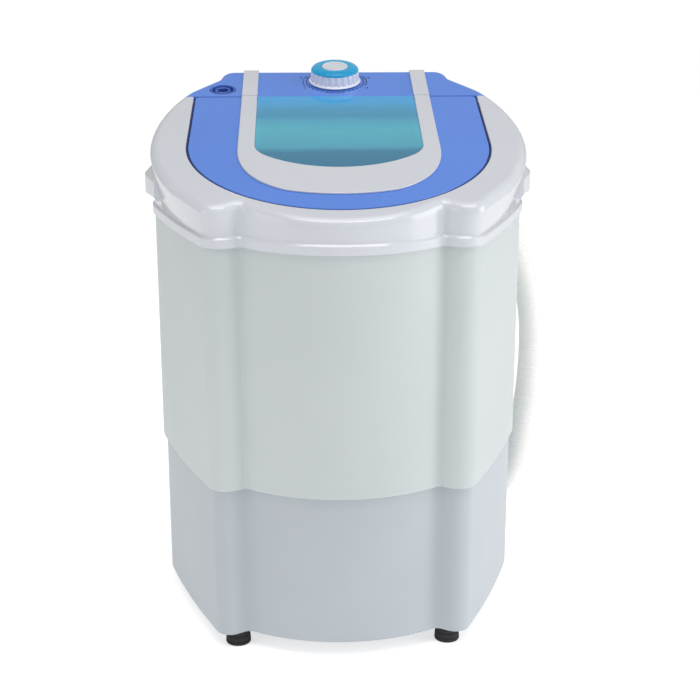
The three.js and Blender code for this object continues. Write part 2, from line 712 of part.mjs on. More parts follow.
const timerHole = timerSize / 2 + 2;
const knobV = alongDeck(knobY);
const inletV = alongDeck(inletY);
const inletX = -frameHalf - inletOutset;
const hingeV = lidRear - hingeSetback;
const pinSolid = (side, radius, from, to) => {
  const pin = round(radius, from, to, 0, 0, 0, 10).rotateY(side * (Math.PI / 2));
  return onDeck(pin.translate(0, hingeV, -hingeDepth));
};

const pocketX = 70;
const pocketDepth = 1.7;
const pocketFloor = backReach + rimProud - pocketDepth;

function topCover() {
  const band = walls(-rimProud, rimZ - rimBand, rimZ - 0.8);
  const lip = loft([ring(-rimProud, rimZ - 0.8), ring(-gap, rimZ + 0.6)]);
  let cover = solid(coverSkin(0, rimZ - rimBand + 1)).add(solid(band)).add(solid(lip));
  cover = cover.add(grip(-1)).add(grip(1));
  cover = cover.subtract(solid(walls(-gap, rimZ - rimBand - 1, rimZ - 3)));
  const inside = solid(coverSkin(-wall, rimZ - 4));
  const front = solid(block([-beyond, -beyond, rimZ - 5], [beyond, bulkheadY, 700]));
  const rear = solid(block([-beyond, bulkheadY + bulkheadWall, rimZ], [beyond, beyond, 700]));
  const underTray = deckBlock([-beyond, -beyond, -beyond], [beyond, beyond, -panelDepth - gap - trayThickness]);
  cover = cover.subtract(inside.intersect(front)).subtract(inside.intersect(rear).intersect(underTray));
  const past = seamV + 3; // trimmed by the space for the control panel
  const wellWall = lidOutline(openingHalf + wall, openingFront - wall, past, 1);
  const wellEdge = lidOutline(openingHalf, openingFront, past, 1);
  const mouth = lidOutline(openingHalf - ledge, openingFront + ledge, past, 1);
  const rest = -lidThickness - gap;
  cover = cover.add(deckSolid(wellWall, rest - wall, -1));
  for (const side of [-1, 1]) {
    const from = side * (openingHalf - 1);
    const to = side * (pinEnd + 0.8);
    const low = [Math.min(from, to), hingeV - 6, -hingeDepth - 6];
    const high = [Math.max(from, to), hingeV + 6, -1];
    cover = cover.add(deckBlock(low, high));
  }
  cover = cover
    .subtract(deckSolid(wellEdge, rest, 20))
    .subtract(deckSolid(mouth, -panelDepth, 20))
    .subtract(deckBlock([-openingHalf, hingeV - 8, -panelDepth], [openingHalf, past, 20]))
    .subtract(deckBlock([-beyond, seamV + gap, -panelDepth - gap], [beyond, beyond, 60]))
    .subtract(deckBlock([-timerHole, knobV - timerHole, -22], [timerHole, knobV + timerHole, 0]))
    .subtract(solid(onDeck(round(inletBore + 3, -22, 0, inletX, inletV))));
  for (const side of [-1, 1]) {
    const pocket = round(4.2, 0, 20, 0, 0, 0, 10).rotateX(-Math.PI / 2);
    cover = cover
      .subtract(solid(pinSolid(side, pinRadius + gap, openingHalf - 5, pinEnd + gap)))
      .subtract(solid(pocket.translate(side * pocketX, pocketFloor, rimZ - rimBand / 2)));
  }
  const pipeHole = round(inletBore + 3, -10, 10).rotateX(Math.PI / 2);
  return cover.subtract(solid(pipeHole.translate(inletX + 4, bulkheadY, deckAt(bulkheadY) - 32)));
}
add('top_cover', topCover(), white);

// ---------------------------------------------------------------- control panel
const panelFront = seamV + seamGap / 2;

function panelRegion(front, low, high = 60) {
  return deckBlock([-beyond, front, low], [beyond, beyond, high]);
}

function controlPanel() {
  const outer = solid(coverSkin(0, rimZ)).intersect(panelRegion(panelFront, -panelDepth));
  const inner = solid(coverSkin(-wall, rimZ)).intersect(panelRegion(panelFront + wall, -panelDepth - 1));
  return outer
    .subtract(inner)
    .subtract(solid(onDeck(round(timerShaftRadius + 2, -5, 5, 0, knobV, 0, 14))))
    .subtract(solid(onDeck(round(inletRadius + gap, -5, 5, inletX, inletV))));
}
add('control_panel', controlPanel(), blue);

// bright strips that carry the lid frame's sides on over the panel
for (const [name, side] of [['panel_strip_left', -1], ['panel_strip_right', 1]]) {
  const inner = side * windowHalf;
  const outer = side * frameHalf;
  const low = [Math.min(inner, outer), panelFront, -panelDepth];
  const high = [Math.max(inner, outer), beyond, 60];
  const strip = solid(coverSkin(frameRise, rimZ)).subtract(solid(coverSkin(gap, rimZ - 1)));
  add(name, strip.intersect(deckBlock(low, high)), white);
}

// ---------------------------------------------------------------- timer and knob
const timerTop = -wall - gap;
const timerBox = block(
  [-timerSize / 2, knobV - timerSize / 2, timerTop - timerDepth],
  [timerSize / 2, knobV + timerSize / 2, timerTop],
);
const timerBore = round(timerShaftRadius + gap, timerTop - 12, timerTop + 1, 0, knobV, 0, 12);
add('wash_timer', solid(onDeck(timerBox)).subtract(solid(onDeck(timerBore))), pale);
const shaftRod = round(timerShaftRadius, timerTop - 12 + gap, knobSkirt - 5, 0, knobV, 0, 12);
add('timer_shaft', onDeck(shaftRod), steel);

const skirtTop = knobSkirt - 1.5;
const knobBody = turned([
  [timerShaftRadius + gap, 2], [7, 2], [7, skirtTop - 3], [knobRadius - 3, skirtTop - 3], [knobRadius - 3, 1],
  [knobFlange, 1], [knobFlange, 2.2], [knobRadius, 3.4], [knobRadius - 0.6, knobSkirt],
  [knobRadius - 2, knobSkirt], [knobRadius - 2.4, skirtTop], [0, skirtTop], [0, knobSkirt - 5 + gap],
  [timerShaftRadius + gap, knobSkirt - 5 + gap], [timerShaftRadius + gap, 2],
], 18);
add('knob_body', onDeck(knobBody.translate(0, knobV, 0)), pale);
const knobRing = turned([
  [capRadius + gap, skirtTop + gap], [knobRadius - 3, skirtTop + gap], [knobRadius - 2.6, knobSkirt + gap],
  [knobRadius - 0.8, knobSkirt + gap],
  [knobRadius - 2, knobSkirt + 2.6], [knobRadius - 6, knobSkirt + 4.2], [capRadius + gap, knobHeight - 0.6],
  [capRadius + gap, skirtTop + gap],
], 18);
add('knob_ring', onDeck(knobRing.translate(0, knobV, 0)), cyan);
const knobCap = turned([
  [0, skirtTop + gap], [capRadius, skirtTop + gap], [capRadius, knobHeight - 0.5], [capRadius - 2, knobHeight],
  [0, knobHeight],
], 18);
add('knob_cap', onDeck(knobCap.translate(0, knobV, 0)), silver);

// ---------------------------------------------------------------- water inlet
const cupFloor = -panelDepth + 3;
const inletCup = turned([
  [inletBore, -20], [inletBore + 2, -20], [inletBore + 2, cupFloor - 2], [inletRadius - 1, cupFloor - 2],
  [inletRadius, 0.4], [inletRadius - 1.6, 0.4], [inletRadius - 2.6, cupFloor], [inletBore + 2, cupFloor],
  [inletBore + 2, -0.5], [inletBore, -0.5], [inletBore, -20],
], 16);
add('inlet_socket', onDeck(inletCup.translate(inletX, inletV, 0)), blue);

const inletFoot = new THREE.Vector3(inletX, inletV, -20 - gap).applyMatrix4(deckMatrix);
const down = new THREE.Vector3(0, Math.sin(deckSlope), -Math.cos(deckSlope));
const spoutZ = deckAt(bulkheadY) - 32;
const inletPath = [
  inletFoot, inletFoot.clone().addScaledVector(down, 6),
  new THREE.Vector3(inletX + 1, inletFoot.y - 6, spoutZ + 3),
  new THREE.Vector3(inletX + 4, bulkheadY + 6, spoutZ), new THREE.Vector3(inletX + 4, bulkheadY - 14, spoutZ),
];
add('inlet_pipe', pipe(inletPath, inletBore + 2, inletBore), white);

// ---------------------------------------------------------------- lid
const barDepth = 9; // rear bar of the lid, under the pane
const paneLow = frameRise - 1.2 - windowThickness;

function lidPanel() {
  const plate = deckSolid(lidOutline(lidHalf, lidFront, lidRear, 5), -lidThickness, 0);
  const opening = deckSolid(pane(4, lidRear - barDepth), -lidThickness - 1, 1);
  const recess = [windowHalf + 4, lidRear + 1, 1];
  let lid = plate.subtract(opening);
  lid = lid.subtract(deckBlock([-recess[0], lidRear - barDepth - 1, paneLow - gap], recess));
  for (const side of [-1, 1]) {
    lid = lid.subtract(solid(pinSolid(side, pinRadius + gap, lidHalf - 12, lidHalf + 5)));
  }
  return lid;
}
add('lid_panel', lidPanel(), blue);

function lidFrame() {
  const stop = lidRear - barDepth - gap;
  return deckSolid(yoke(0, lidRear), gap, frameRise)
    .add(deckSolid(pane(4 - gap, stop), -lidThickness, gap + 0.5))
    .subtract(deckSolid(pane(0, lidRear + 1), paneLow - gap, frameRise + 1))
    .subtract(deckSolid(pane(-4, lidRear + 1), -lidThickness - 1, paneLow));
}
add('lid_frame', lidFrame(), white);
add('lid_window', onDeck(prism(pane(-gap, lidRear), paneLow, paneLow + windowThickness)), teal);
for (const [name, side] of [['hinge_pin_left', -1], ['hinge_pin_right', 1]]) {
  add(name, pinSolid(side, pinRadius, lidHalf - 11.5, pinEnd), steel);
}

// screws that hold the cover's rim to the tub, in pockets at the back
for (const [name, side] of [['cover_screw_left', -1], ['cover_screw_right', 1]]) {
  const screw = turned([[0, gap], [3.6, gap], [3.2, pocketDepth - 0.1], [0, pocketDepth]], 10);
  screw.rotateX(-Math.PI / 2).translate(side * pocketX, pocketFloor, rimZ - rimBand / 2);
  add(name, screw, zinc);
}

export default machine;
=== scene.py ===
import math
import bmesh
import bpy
from mathutils import Matrix, Vector


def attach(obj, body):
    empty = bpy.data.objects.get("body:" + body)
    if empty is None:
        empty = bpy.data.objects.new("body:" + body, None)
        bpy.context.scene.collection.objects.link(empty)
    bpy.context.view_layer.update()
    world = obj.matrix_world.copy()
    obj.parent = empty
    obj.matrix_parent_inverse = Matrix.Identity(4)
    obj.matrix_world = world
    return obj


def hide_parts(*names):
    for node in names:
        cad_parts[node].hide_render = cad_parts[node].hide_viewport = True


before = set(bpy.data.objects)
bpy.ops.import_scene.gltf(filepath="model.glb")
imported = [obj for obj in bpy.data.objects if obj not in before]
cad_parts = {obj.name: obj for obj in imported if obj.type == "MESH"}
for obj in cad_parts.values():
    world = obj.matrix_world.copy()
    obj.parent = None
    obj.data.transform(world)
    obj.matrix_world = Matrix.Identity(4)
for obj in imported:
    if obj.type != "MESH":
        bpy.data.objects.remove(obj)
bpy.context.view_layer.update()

print("frame loaded,", len(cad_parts), "nodes")

mm = 0.001
pi = math.pi

# camera at eye height in front of the machine
cameraSetup = {"lens": 76.37, "place": (-0.0359, -1.4246, 0.690), "tilt": 73, "roll": 0.033}
camera = bpy.data.objects.new("camera", bpy.data.cameras.new("camera"))
camera.data.sensor_width = 36
camera.data.lens = cameraSetup["lens"]
camera.location = cameraSetup["place"]
camera.rotation_euler = (math.radians(cameraSetup["tilt"]), 0, -cameraSetup["roll"])
bpy.context.scene.collection.objects.link(camera)
bpy.context.scene.camera = camera
print("camera set")


# shared node groups: values that change over a surface
def addSockets(tree, side, values):
    kinds = {tuple: "Color", int: "Int", float: "Float", type(None): "Material"}
    for label, value in values.items():
        kind = "NodeSocket" + kinds[type(value)]
        socket = tree.interface.new_socket(label, in_out=side, socket_type=kind)
        if value is not None:
            socket.default_value = value


def newGroup(name, inputs, outputs):
    tree = bpy.data.node_groups.new(name, "ShaderNodeTree")
    addSockets(tree, "INPUT", inputs)
    addSockets(tree, "OUTPUT", outputs)
    return tree, tree.nodes.new("NodeGroupInput"), tree.nodes.new("NodeGroupOutput")


def node(tree, kind, **settings):
    made = tree.nodes.new(kind)
    for key, value in settings.items():
        setattr(made, key, value)
    return made


def plug(tree, value, socket):
    if hasattr(value, "is_output"):
        tree.links.new(value, socket)
    else:
        socket.default_value = value


# arithmetic inside one tree
def arithmetic(tree):
    def calc(operation, a, b=None, c=None, clamp=False):
        made = node(tree, "ShaderNodeMath", operation=operation, use_clamp=clamp)
        for value, socket in zip((a, b, c), made.inputs):
            if value is not None:
                plug(tree, value, socket)
        return made.outputs[0]
    return calc


def noise(tree, vector, scale, detail=3, rough=0.5, stretch=None):
    if stretch:
        mapping = node(tree, "ShaderNodeMapping")
        mapping.inputs["Scale"].default_value = stretch
        tree.links.new(vector, mapping.inputs["Vector"])
        vector = mapping.outputs[0]
    made = node(tree, "ShaderNodeTexNoise")
    made.inputs["Detail"].default_value = detail
    made.inputs["Roughness"].default_value = rough
    tree.links.new(vector, made.inputs["Vector"])
    plug(tree, scale, made.inputs["Scale"])
    return made.outputs["Fac"]


def mixColor(tree, factor, a, b):
    made = node(tree, "ShaderNodeMix", data_type="RGBA")
    for value, socket in ((factor, made.inputs[0]), (a, made.inputs[6]), (b, made.inputs[7])):
        plug(tree, value, socket)
    return made.outputs[2]


# moulded plastic: slow clouding of the colour, uneven gloss, and a fine moulded skin
mouldedSkin, start, end = newGroup(
    "mouldedSkin", {"Tone": (0.8, 0.8, 0.8, 1), "Second Tone": (0.7, 0.7, 0.7, 1), "Cloud Scale": 9.0,
                    "Roughness": 0.3, "Gloss Spread": 0.08, "Grain Scale": 900.0, "Speckle": 0.05},
    {"Color": (0, 0, 0, 1), "Roughness": 0.0, "Height": 0.0})
calc = arithmetic(mouldedSkin)
place = node(mouldedSkin, "ShaderNodeTexCoord").outputs["Object"]
cloud = noise(mouldedSkin, place, start.outputs["Cloud Scale"], 3, 0.55)
speck = noise(mouldedSkin, place, start.outputs["Grain Scale"], 2, 0.6)
smear = noise(mouldedSkin, place, 38, 4, 0.6, (1, 1, 0.35))
cloudMask = calc("MULTIPLY_ADD", cloud, 2.2, -0.6, clamp=True)
specked = calc("MULTIPLY_ADD", speck, start.outputs["Speckle"], cloudMask, clamp=True)
tint = mixColor(mouldedSkin, specked, start.outputs["Tone"], start.outputs["Second Tone"])
glossShift = calc("MULTIPLY", calc("SUBTRACT", smear, 0.5), start.outputs["Gloss Spread"])
gloss = calc("ADD", start.outputs["Roughness"], glossShift, clamp=True)
height = calc("ADD", speck, calc("MULTIPLY", cloud, 1.5))
for value, label in ((tint, "Color"), (gloss, "Roughness"), (height, "Height")):
    mouldedSkin.links.new(value, end.inputs[label])

# handling marks: short fine scratches, strongest in patches
handlingMarks, start, end = newGroup(
    "handlingMarks",
    {"Scale": 120.0, "Patch Scale": 14.0, "Amount": 0.5},
    {"Mask": 0.0})
calc = arithmetic(handlingMarks)
place = node(handlingMarks, "ShaderNodeTexCoord").outputs["Object"]
longScratch = noise(handlingMarks, place, start.outputs["Scale"], 2, 0.7, (1, 0.06, 1))
crossScratch = noise(handlingMarks, place, start.outputs["Scale"], 2, 0.7, (0.05, 1, 0.6))
patch = noise(handlingMarks, place, start.outputs["Patch Scale"], 2, 0.5)
lines = calc("MULTIPLY_ADD", calc("MAXIMUM", longScratch, crossScratch), 9, -5.9, clamp=True)
patches = calc("MULTIPLY_ADD", patch, 5, -2.4, clamp=True)
marks = calc("MULTIPLY", calc("MULTIPLY", lines, patches), start.outputs["Amount"])
handlingMarks.links.new(marks, end.inputs["Mask"])

# worked metal: streaks along one direction and a mottled film
metalSkin, start, end = newGroup(
    "metalSkin", {"Tone": (0.6, 0.6, 0.6, 1), "Second Tone": (0.4, 0.4, 0.4, 1), "Streak Scale": 300.0,
                  "Film Scale": 30.0, "Roughness": 0.35}, {"Color": (0, 0, 0, 1), "Roughness": 0.0,
                                                           "Height": 0.0})
calc = arithmetic(metalSkin)
place = node(metalSkin, "ShaderNodeTexCoord").outputs["Object"]
streak = noise(metalSkin, place, start.outputs["Streak Scale"], 2, 0.6, (1, 1, 0.04))
film = noise(metalSkin, place, start.outputs["Film Scale"], 5, 0.6)
filmMask = calc("MULTIPLY_ADD", film, 3, -1, clamp=True)
tint = mixColor(metalSkin, filmMask, start.outputs["Tone"], start.outputs["Second Tone"])
uneven = calc("ADD", start.outputs["Roughness"], calc("MULTIPLY_ADD", streak, 0.25, -0.1), clamp=True)
for value, label in ((tint, "Color"), (uneven, "Roughness"), (streak, "Height")):
    metalSkin.links.new(value, end.inputs[label])
print("node groups made")


# materials, one dictionary of settings for each

finishes = {
    "pearlWhite": {"tone": (0.71, 0.735, 0.79), "second": (0.67, 0.695, 0.75), "rough": 0.2, "spread": 0.07,
                   "cloud": 7, "grain": 1400, "speckle": 0.1, "bump": 0.006, "coat": 0.8, "marks": 0.0},
    # naturalTub: the glow is painted light, a little emission of the tub's own colour standing in for light
    # passing through the translucent tub
    "naturalTub": {"tone": (0.62, 0.665, 0.665), "second": (0.57, 0.62, 0.625), "rough": 0.42, "spread": 0.1,
                   "cloud": 5, "grain": 900, "speckle": 0.12, "bump": 0.02, "coat": 0.0, "marks": 0.15,
                   "through": 0.25, "glow": 0.07},
    "baseWhite": {"tone": (0.555, 0.60, 0.635), "second": (0.51, 0.555, 0.60), "rough": 0.36, "spread": 0.08,
                  "cloud": 6, "grain": 1000, "speckle": 0.1, "bump": 0.018, "coat": 0.1, "marks": 0.2},
    "lidBlue": {"tone": (0.098, 0.26, 0.82), "second": (0.088, 0.24, 0.78), "rough": 0.26, "spread": 0.08,
                "cloud": 9, "grain": 1300, "speckle": 0.15, "bump": 0.004, "coat": 0.15, "marks": 0.0},
    # the dark strip in the gap round the lid: painted shade
    "gapShadeNavy": {"tone": (0.012, 0.03, 0.17), "second": (0.01, 0.025, 0.13), "rough": 0.5, "spread": 0.1,
                 "cloud": 30, "grain": 1500, "speckle": 0.1, "bump": 0.01, "coat": 0.0, "marks": 0.0},
    "socketNavy": {"tone": (0.05, 0.14, 0.56), "second": (0.04, 0.12, 0.50), "rough": 0.3, "spread": 0.06,
                   "cloud": 30, "grain": 1500, "speckle": 0.1, "bump": 0.01, "coat": 0.3, "marks": 0.0},
    "knobPearl": {"tone": (0.86, 0.87, 0.96), "second": (0.81, 0.82, 0.92), "rough": 0.28, "spread": 0.05,
                  "cloud": 60, "grain": 1800, "speckle": 0.1, "bump": 0.01, "coat": 0.3, "marks": 0.0},
    "softWhite": {"tone": (0.70, 0.72, 0.73), "second": (0.64, 0.66, 0.68), "rough": 0.4, "spread": 0.08,
                  "cloud": 18, "grain": 1100, "speckle": 0.1, "bump": 0.02, "coat": 0.0, "marks": 0.2},
    "blackPlastic": {"tone": (0.018, 0.019, 0.022), "second": (0.028, 0.03, 0.033), "rough": 0.42,
                     "spread": 0.1, "cloud": 40, "grain": 1500, "speckle": 0.2, "bump": 0.03,
                     "coat": 0.0, "marks": 0.3},
    "footRubber": {"tone": (0.012, 0.013, 0.018), "second": (0.03, 0.03, 0.034), "rough": 0.75,
                   "spread": 0.15, "cloud": 90, "grain": 1200, "speckle": 0.3, "bump": 0.06,
                   "coat": 0.0, "marks": 0.4},
    "hoseCream": {"tone": (0.94, 0.94, 0.92), "second": (0.90, 0.90, 0.88), "rough": 0.45, "spread": 0.1,
                  "cloud": 25, "grain": 1000, "speckle": 0.1, "bump": 0.004, "coat": 0.0, "marks": 0.0},
    "dialInk": {"tone": (0.01, 0.02, 0.10), "second": (0.02, 0.035, 0.15), "rough": 0.5, "spread": 0.1,
                "cloud": 200, "grain": 3000, "speckle": 0.3, "bump": 0.01, "coat": 0.0, "marks": 0.0},
}
metals = {
    "capSilver": {"tone": (0.82, 0.86, 0.92), "second": (0.76, 0.80, 0.87), "rough": 0.3, "metal": 0.3,
                  "streak": 500, "film": 90, "bump": 0.01},
    "groundSteel": {"tone": (0.58, 0.59, 0.61), "second": (0.5, 0.51, 0.53), "rough": 0.25, "metal": 1,
                    "streak": 700, "film": 60, "bump": 0.02},
    "zincSheet": {"tone": (0.50, 0.52, 0.54), "second": (0.38, 0.40, 0.42), "rough": 0.38, "metal": 0.9,
                  "streak": 260, "film": 45, "bump": 0.02},
    "motorIron": {"tone": (0.16, 0.17, 0.18), "second": (0.10, 0.105, 0.11), "rough": 0.5, "metal": 0.7,
                  "streak": 400, "film": 35, "bump": 0.08},
}
clears = {
    # windowTeal: the colour steps through bands from the front of the pane to the hinge. These bands are
    # painted shade, light and reflection, standing in for the view into the machine through the tinted pane.
    # The pane also glows a little, which is painted light
    "windowTeal": {"rough": 0.08, "through": 0.6, "grain": 260, "bump": 0.02, "glow": 0.12,
                   "low": -0.0735, "high": 0.105, "paintedLightBands": (
        (0.0, (0.06, 0.29, 0.45)), (0.21, (0.07, 0.33, 0.50)), (0.27, (0.13, 0.53, 0.68)),
        (0.50, (0.14, 0.62, 0.74)), (0.64, (0.12, 0.54, 0.72)), (0.70, (0.09, 0.44, 0.66)),
        (0.80, (0.10, 0.47, 0.70)), (0.88, (0.10, 0.54, 0.86)))},
    # ringCyan: lighter towards the rear of the ring, which is a painted highlight, plus a small glow of
    # painted light
    "ringCyan": {"rough": 0.08, "through": 0.3, "grain": 180, "bump": 0.3, "glow": 0.15,
                 "low": 0.11, "high": 0.18, "paintedLightBands": (
        (0.0, (0.01, 0.34, 0.62)), (1.0, (0.012, 0.47, 0.74)))},
}
materials = {}


def color(tone):
    return (*tone, 1)


def newMaterial(name):
    made = bpy.data.materials.new(name)
    made.use_nodes = True
    materials[name] = made
    return made, made.node_tree, made.node_tree.nodes["Principled BSDF"]


def placeGroup(tree, group, **values):
    made = tree.nodes.new("ShaderNodeGroup")
    made.node_tree = group
    for key, value in values.items():
        made.inputs[key.replace("_", " ")].default_value = value
    return made


def addBump(tree, shader, height, strength, distance):
    bump = node(tree, "ShaderNodeBump")
    bump.inputs["Strength"].default_value = strength
    bump.inputs["Distance"].default_value = distance
    tree.links.new(height, bump.inputs["Height"])
    tree.links.new(bump.outputs[0], shader.inputs["Normal"])


for name, f in finishes.items():
    made, tree, shader = newMaterial(name)
    skin = placeGroup(tree, mouldedSkin, Tone=color(f["tone"]), Second_Tone=color(f["second"]),
                      Cloud_Scale=f["cloud"], Roughness=f["rough"], Gloss_Spread=f["spread"],
                      Grain_Scale=f["grain"], Speckle=f["speckle"])
    worn = placeGroup(tree, handlingMarks, Amount=f["marks"])
    tree.links.new(skin.outputs["Color"], shader.inputs["Base Color"])
    rough = arithmetic(tree)("ADD", skin.outputs["Roughness"], worn.outputs["Mask"], clamp=True)
    tree.links.new(rough, shader.inputs["Roughness"])
    addBump(tree, shader, skin.outputs["Height"], f["bump"] * 10, 0.0004)
    shader.inputs["Coat Weight"].default_value = f["coat"]
    shader.inputs["Coat Roughness"].default_value = 0.08
    if "through" in f:
        shader.inputs["Subsurface Weight"].default_value = f["through"]
        shader.inputs["Subsurface Radius"].default_value = (1, 1, 0.9)
        shader.inputs["Subsurface Scale"].default_value = 0.012
        # emission of the skin colour: painted light standing in for light passing through the plastic
        tree.links.new(skin.outputs["Color"], shader.inputs["Emission Color"])
        shader.inputs["Emission Strength"].default_value = f["glow"]

for name, f in metals.items():
    made, tree, shader = newMaterial(name)
    skin = placeGroup(tree, metalSkin, Tone=color(f["tone"]), Second_Tone=color(f["second"]),
                      Streak_Scale=f["streak"], Film_Scale=f["film"], Roughness=f["rough"])
    tree.links.new(skin.outputs["Color"], shader.inputs["Base Color"])
    tree.links.new(skin.outputs["Roughness"], shader.inputs["Roughness"])
    addBump(tree, shader, skin.outputs["Height"], f["bump"] * 8, 0.0003)
    shader.inputs["Metallic"].default_value = f["metal"]

for name, f in clears.items():
    made, tree, shader = newMaterial(name)
    place = node(tree, "ShaderNodeTexCoord").outputs["Object"]
    ripple = noise(tree, place, f["grain"], 2, 0.5)
    calc = arithmetic(tree)
    # painted light and shade: the colour steps through the bands from front to back along object Y, with wavy
    # edges
    across = node(tree, "ShaderNodeSeparateXYZ")
    tree.links.new(place, across.inputs[0])
    depth = calc("DIVIDE", calc("SUBTRACT", across.outputs["Y"], f["low"]), f["high"] - f["low"], clamp=True)
    sway = calc("MULTIPLY_ADD", noise(tree, place, 18, 3, 0.5), 0.06, -0.03)
    paintedLightBands = node(tree, "ShaderNodeValToRGB")
    tree.links.new(calc("ADD", depth, sway, clamp=True), paintedLightBands.inputs[0])
    stops = paintedLightBands.color_ramp.elements
    while len(stops) < len(f["paintedLightBands"]):
        stops.new(0.5)
    for stop, (position, tone) in zip(stops, f["paintedLightBands"]):
        stop.position = position
        stop.color = color(tone)
    tint = paintedLightBands.outputs["Color"]
    tree.links.new(tint, shader.inputs["Base Color"])
    worn = placeGroup(tree, handlingMarks, Amount=0.1)
    tree.links.new(calc("ADD", worn.outputs["Mask"], f["rough"], clamp=True), shader.inputs["Roughness"])
    addBump(tree, shader, ripple, f["bump"] * 4, 0.0006)
    shader.inputs["Transmission Weight"].default_value = f["through"]
    shader.inputs["IOR"].default_value = 1.45
    # the tint is also given off as light: a painted glow, since these parts are not lamps
    tree.links.new(tint, shader.inputs["Emission Color"])
    shader.inputs["Emission Strength"].default_value = f["glow"]
print("materials made:", len(materials))


# shapes, in millimetres until the mesh is made
def makeObject(name, vertices, faces):
    mesh = bpy.data.meshes.new(name)
    mesh.from_pydata([(x * mm, y * mm, z * mm) for x, y, z in vertices], [], faces)
    mesh.validate()
    made = bpy.data.objects.new(name, mesh)
    bpy.context.scene.collection.objects.link(made)
    return made


def faceOutward(obj):
    shape = bmesh.new()
    shape.from_mesh(obj.data)
    bmesh.ops.recalc_face_normals(shape, faces=shape.faces)
    shape.to_mesh(obj.data)
    shape.free()


# closed skin through rings that have equally many points: capped, or joined last to first
def loft(name, rings, capped=True):
    count = len(rings[0])
    vertices = [point for ring in rings for point in ring]
    faces = []
    for level in range(len(rings) - 1 if capped else len(rings)):
        after = (level + 1) % len(rings)
        for i in range(count):
            k = (i + 1) % count
            faces.append((level * count + i, level * count + k, after * count + k, after * count + i))
    if capped:
        last = (len(rings) - 1) * count
        faces.append(tuple(reversed(range(count))))
        faces.append(tuple(last + i for i in range(count)))
    made = makeObject(name, vertices, faces)
    faceOutward(made)
    return made


def polar(r, a, z):
    return r * math.cos(a), r * math.sin(a), z


def fullTurn(count):
    return [2 * pi * i / count for i in range(count)]


# solid of revolution about the upright axis from (radius, height) pairs
def lathe(name, profile, sides, closed=False):
    vertices, faces, rows = [], [], []
    for r, z in profile:
        if r < 1e-6:
            rows.append([len(vertices)] * sides)
            vertices.append((0, 0, z))
        else:
            rows.append([len(vertices) + i for i in range(sides)])
            vertices.extend(polar(r, a, z) for a in fullTurn(sides))
    pairs = list(zip(rows, rows[1:] + ([rows[0]] if closed else [])))[: None if closed else len(rows) - 1]
    for low, high in pairs:
        for i in range(sides):
            k = (i + 1) % sides
            corners = [low[i], low[k], high[k], high[i]]
            corners = [c for n, c in enumerate(corners) if c not in corners[:n]]
            if len(corners) > 2:
                faces.append(corners)
    made = makeObject(name, vertices, faces)
    faceOutward(made)
    return made


def rod(name, radius, low, high, sides=32):
    return lathe(name, [(0, low), (radius, low), (radius, high), (0, high)], sides)


def block(name, low, high):
    corners = [(x, y, z) for x in (low[0], high[0]) for y in (low[1], high[1]) for z in (low[2], high[2])]
    faces = [(0, 1, 3, 2), (4, 6, 7, 5), (0, 4, 5, 1), (2, 3, 7, 6), (0, 2, 6, 4), (1, 5, 7, 3)]
    made = makeObject(name, corners, faces)
    faceOutward(made)
    return made


# the object with its modifiers turned into plain mesh
def bake(obj):
    graph = bpy.context.evaluated_depsgraph_get()
    graph.update()
    ready = obj.evaluated_get(graph)
    mesh = bpy.data.meshes.new_from_object(ready, preserve_all_data_layers=True, depsgraph=graph)
    old = obj.data
    obj.modifiers.clear()
    if obj.type == "CURVE":
        made = bpy.data.objects.new(obj.name, mesh)
        bpy.data.objects.remove(obj)
        bpy.context.scene.collection.objects.link(made)
        return made
    obj.data = mesh
    if old.users == 0:
        bpy.data.meshes.remove(old)
    return obj


def combine(target, tool, operation="DIFFERENCE"):
    modifier = target.modifiers.new("join", "BOOLEAN")
    modifier.operation = operation
    modifier.solver = "MANIFOLD"
    modifier.object = tool
    bake(target)
    bpy.data.objects.remove(tool)
    return target


def moved(obj, matrix):
    obj.data.transform(matrix)
    return obj


def at(x, y, z):
    return Matrix.Translation((x * mm, y * mm, z * mm))


def turned(degrees, axis):
    return Matrix.Rotation(math.radians(degrees), 4, axis)


# smooths and shades a piece, gives it its material and sets it on its body
def finishPiece(obj, name, material, body, nodes=(), bevel=0, angle=32, segments=2):
    obj.name = name
    shape = bmesh.new()
    shape.from_mesh(obj.data)
    bmesh.ops.remove_doubles(shape, verts=shape.verts, dist=0.00001)
    shape.to_mesh(obj.data)
    shape.free()
    if bevel:
        modifier = obj.modifiers.new("round", "BEVEL")
        modifier.width = bevel * mm
        modifier.segments = segments
        modifier.limit_method = "ANGLE"
        modifier.angle_limit = math.radians(42)
        modifier.harden_normals = False
        bake(obj)
    obj.data.shade_smooth()
    obj.data.set_sharp_from_angle(angle=math.radians(angle))
    normals = obj.modifiers.new("normals", "WEIGHTED_NORMAL")
    normals.keep_sharp = True
    bake(obj)
    obj.data.materials.clear()
    obj.data.materials.append(materials[material])
    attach(obj, body)
    if nodes:
        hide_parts(*nodes)
    return obj


# plan outline of the body

body = {"halfWidth": 180, "frontReach": 181, "backReach": 181, "notchInset": 90, "notchSetback": 39,
        "postInset": 64, "postSetback": 22.5, "notchRadius": 7, "postRadius": 18, "roundness": 0.2,
        "sideRadius": 65, "sideLine": 27, "deckSideLine": 2, "rearSwell": 3, "rearNotchInset": 58,
        "rearNotchSetback": 22, "rearCornerInset": 62.5, "rearNotchRadius": 12, "rearCornerRadius": 15,
        "bulgeDraft": 1 / 30, "footHeight": 15, "seamZ": 164, "rimZ": 404, "rimBand": 10, "rimProud": 2.3,
        "wall": 2.6, "baseStep": 3.5, "gap": 0.3}
gap = body["gap"]
wall = body["wall"]


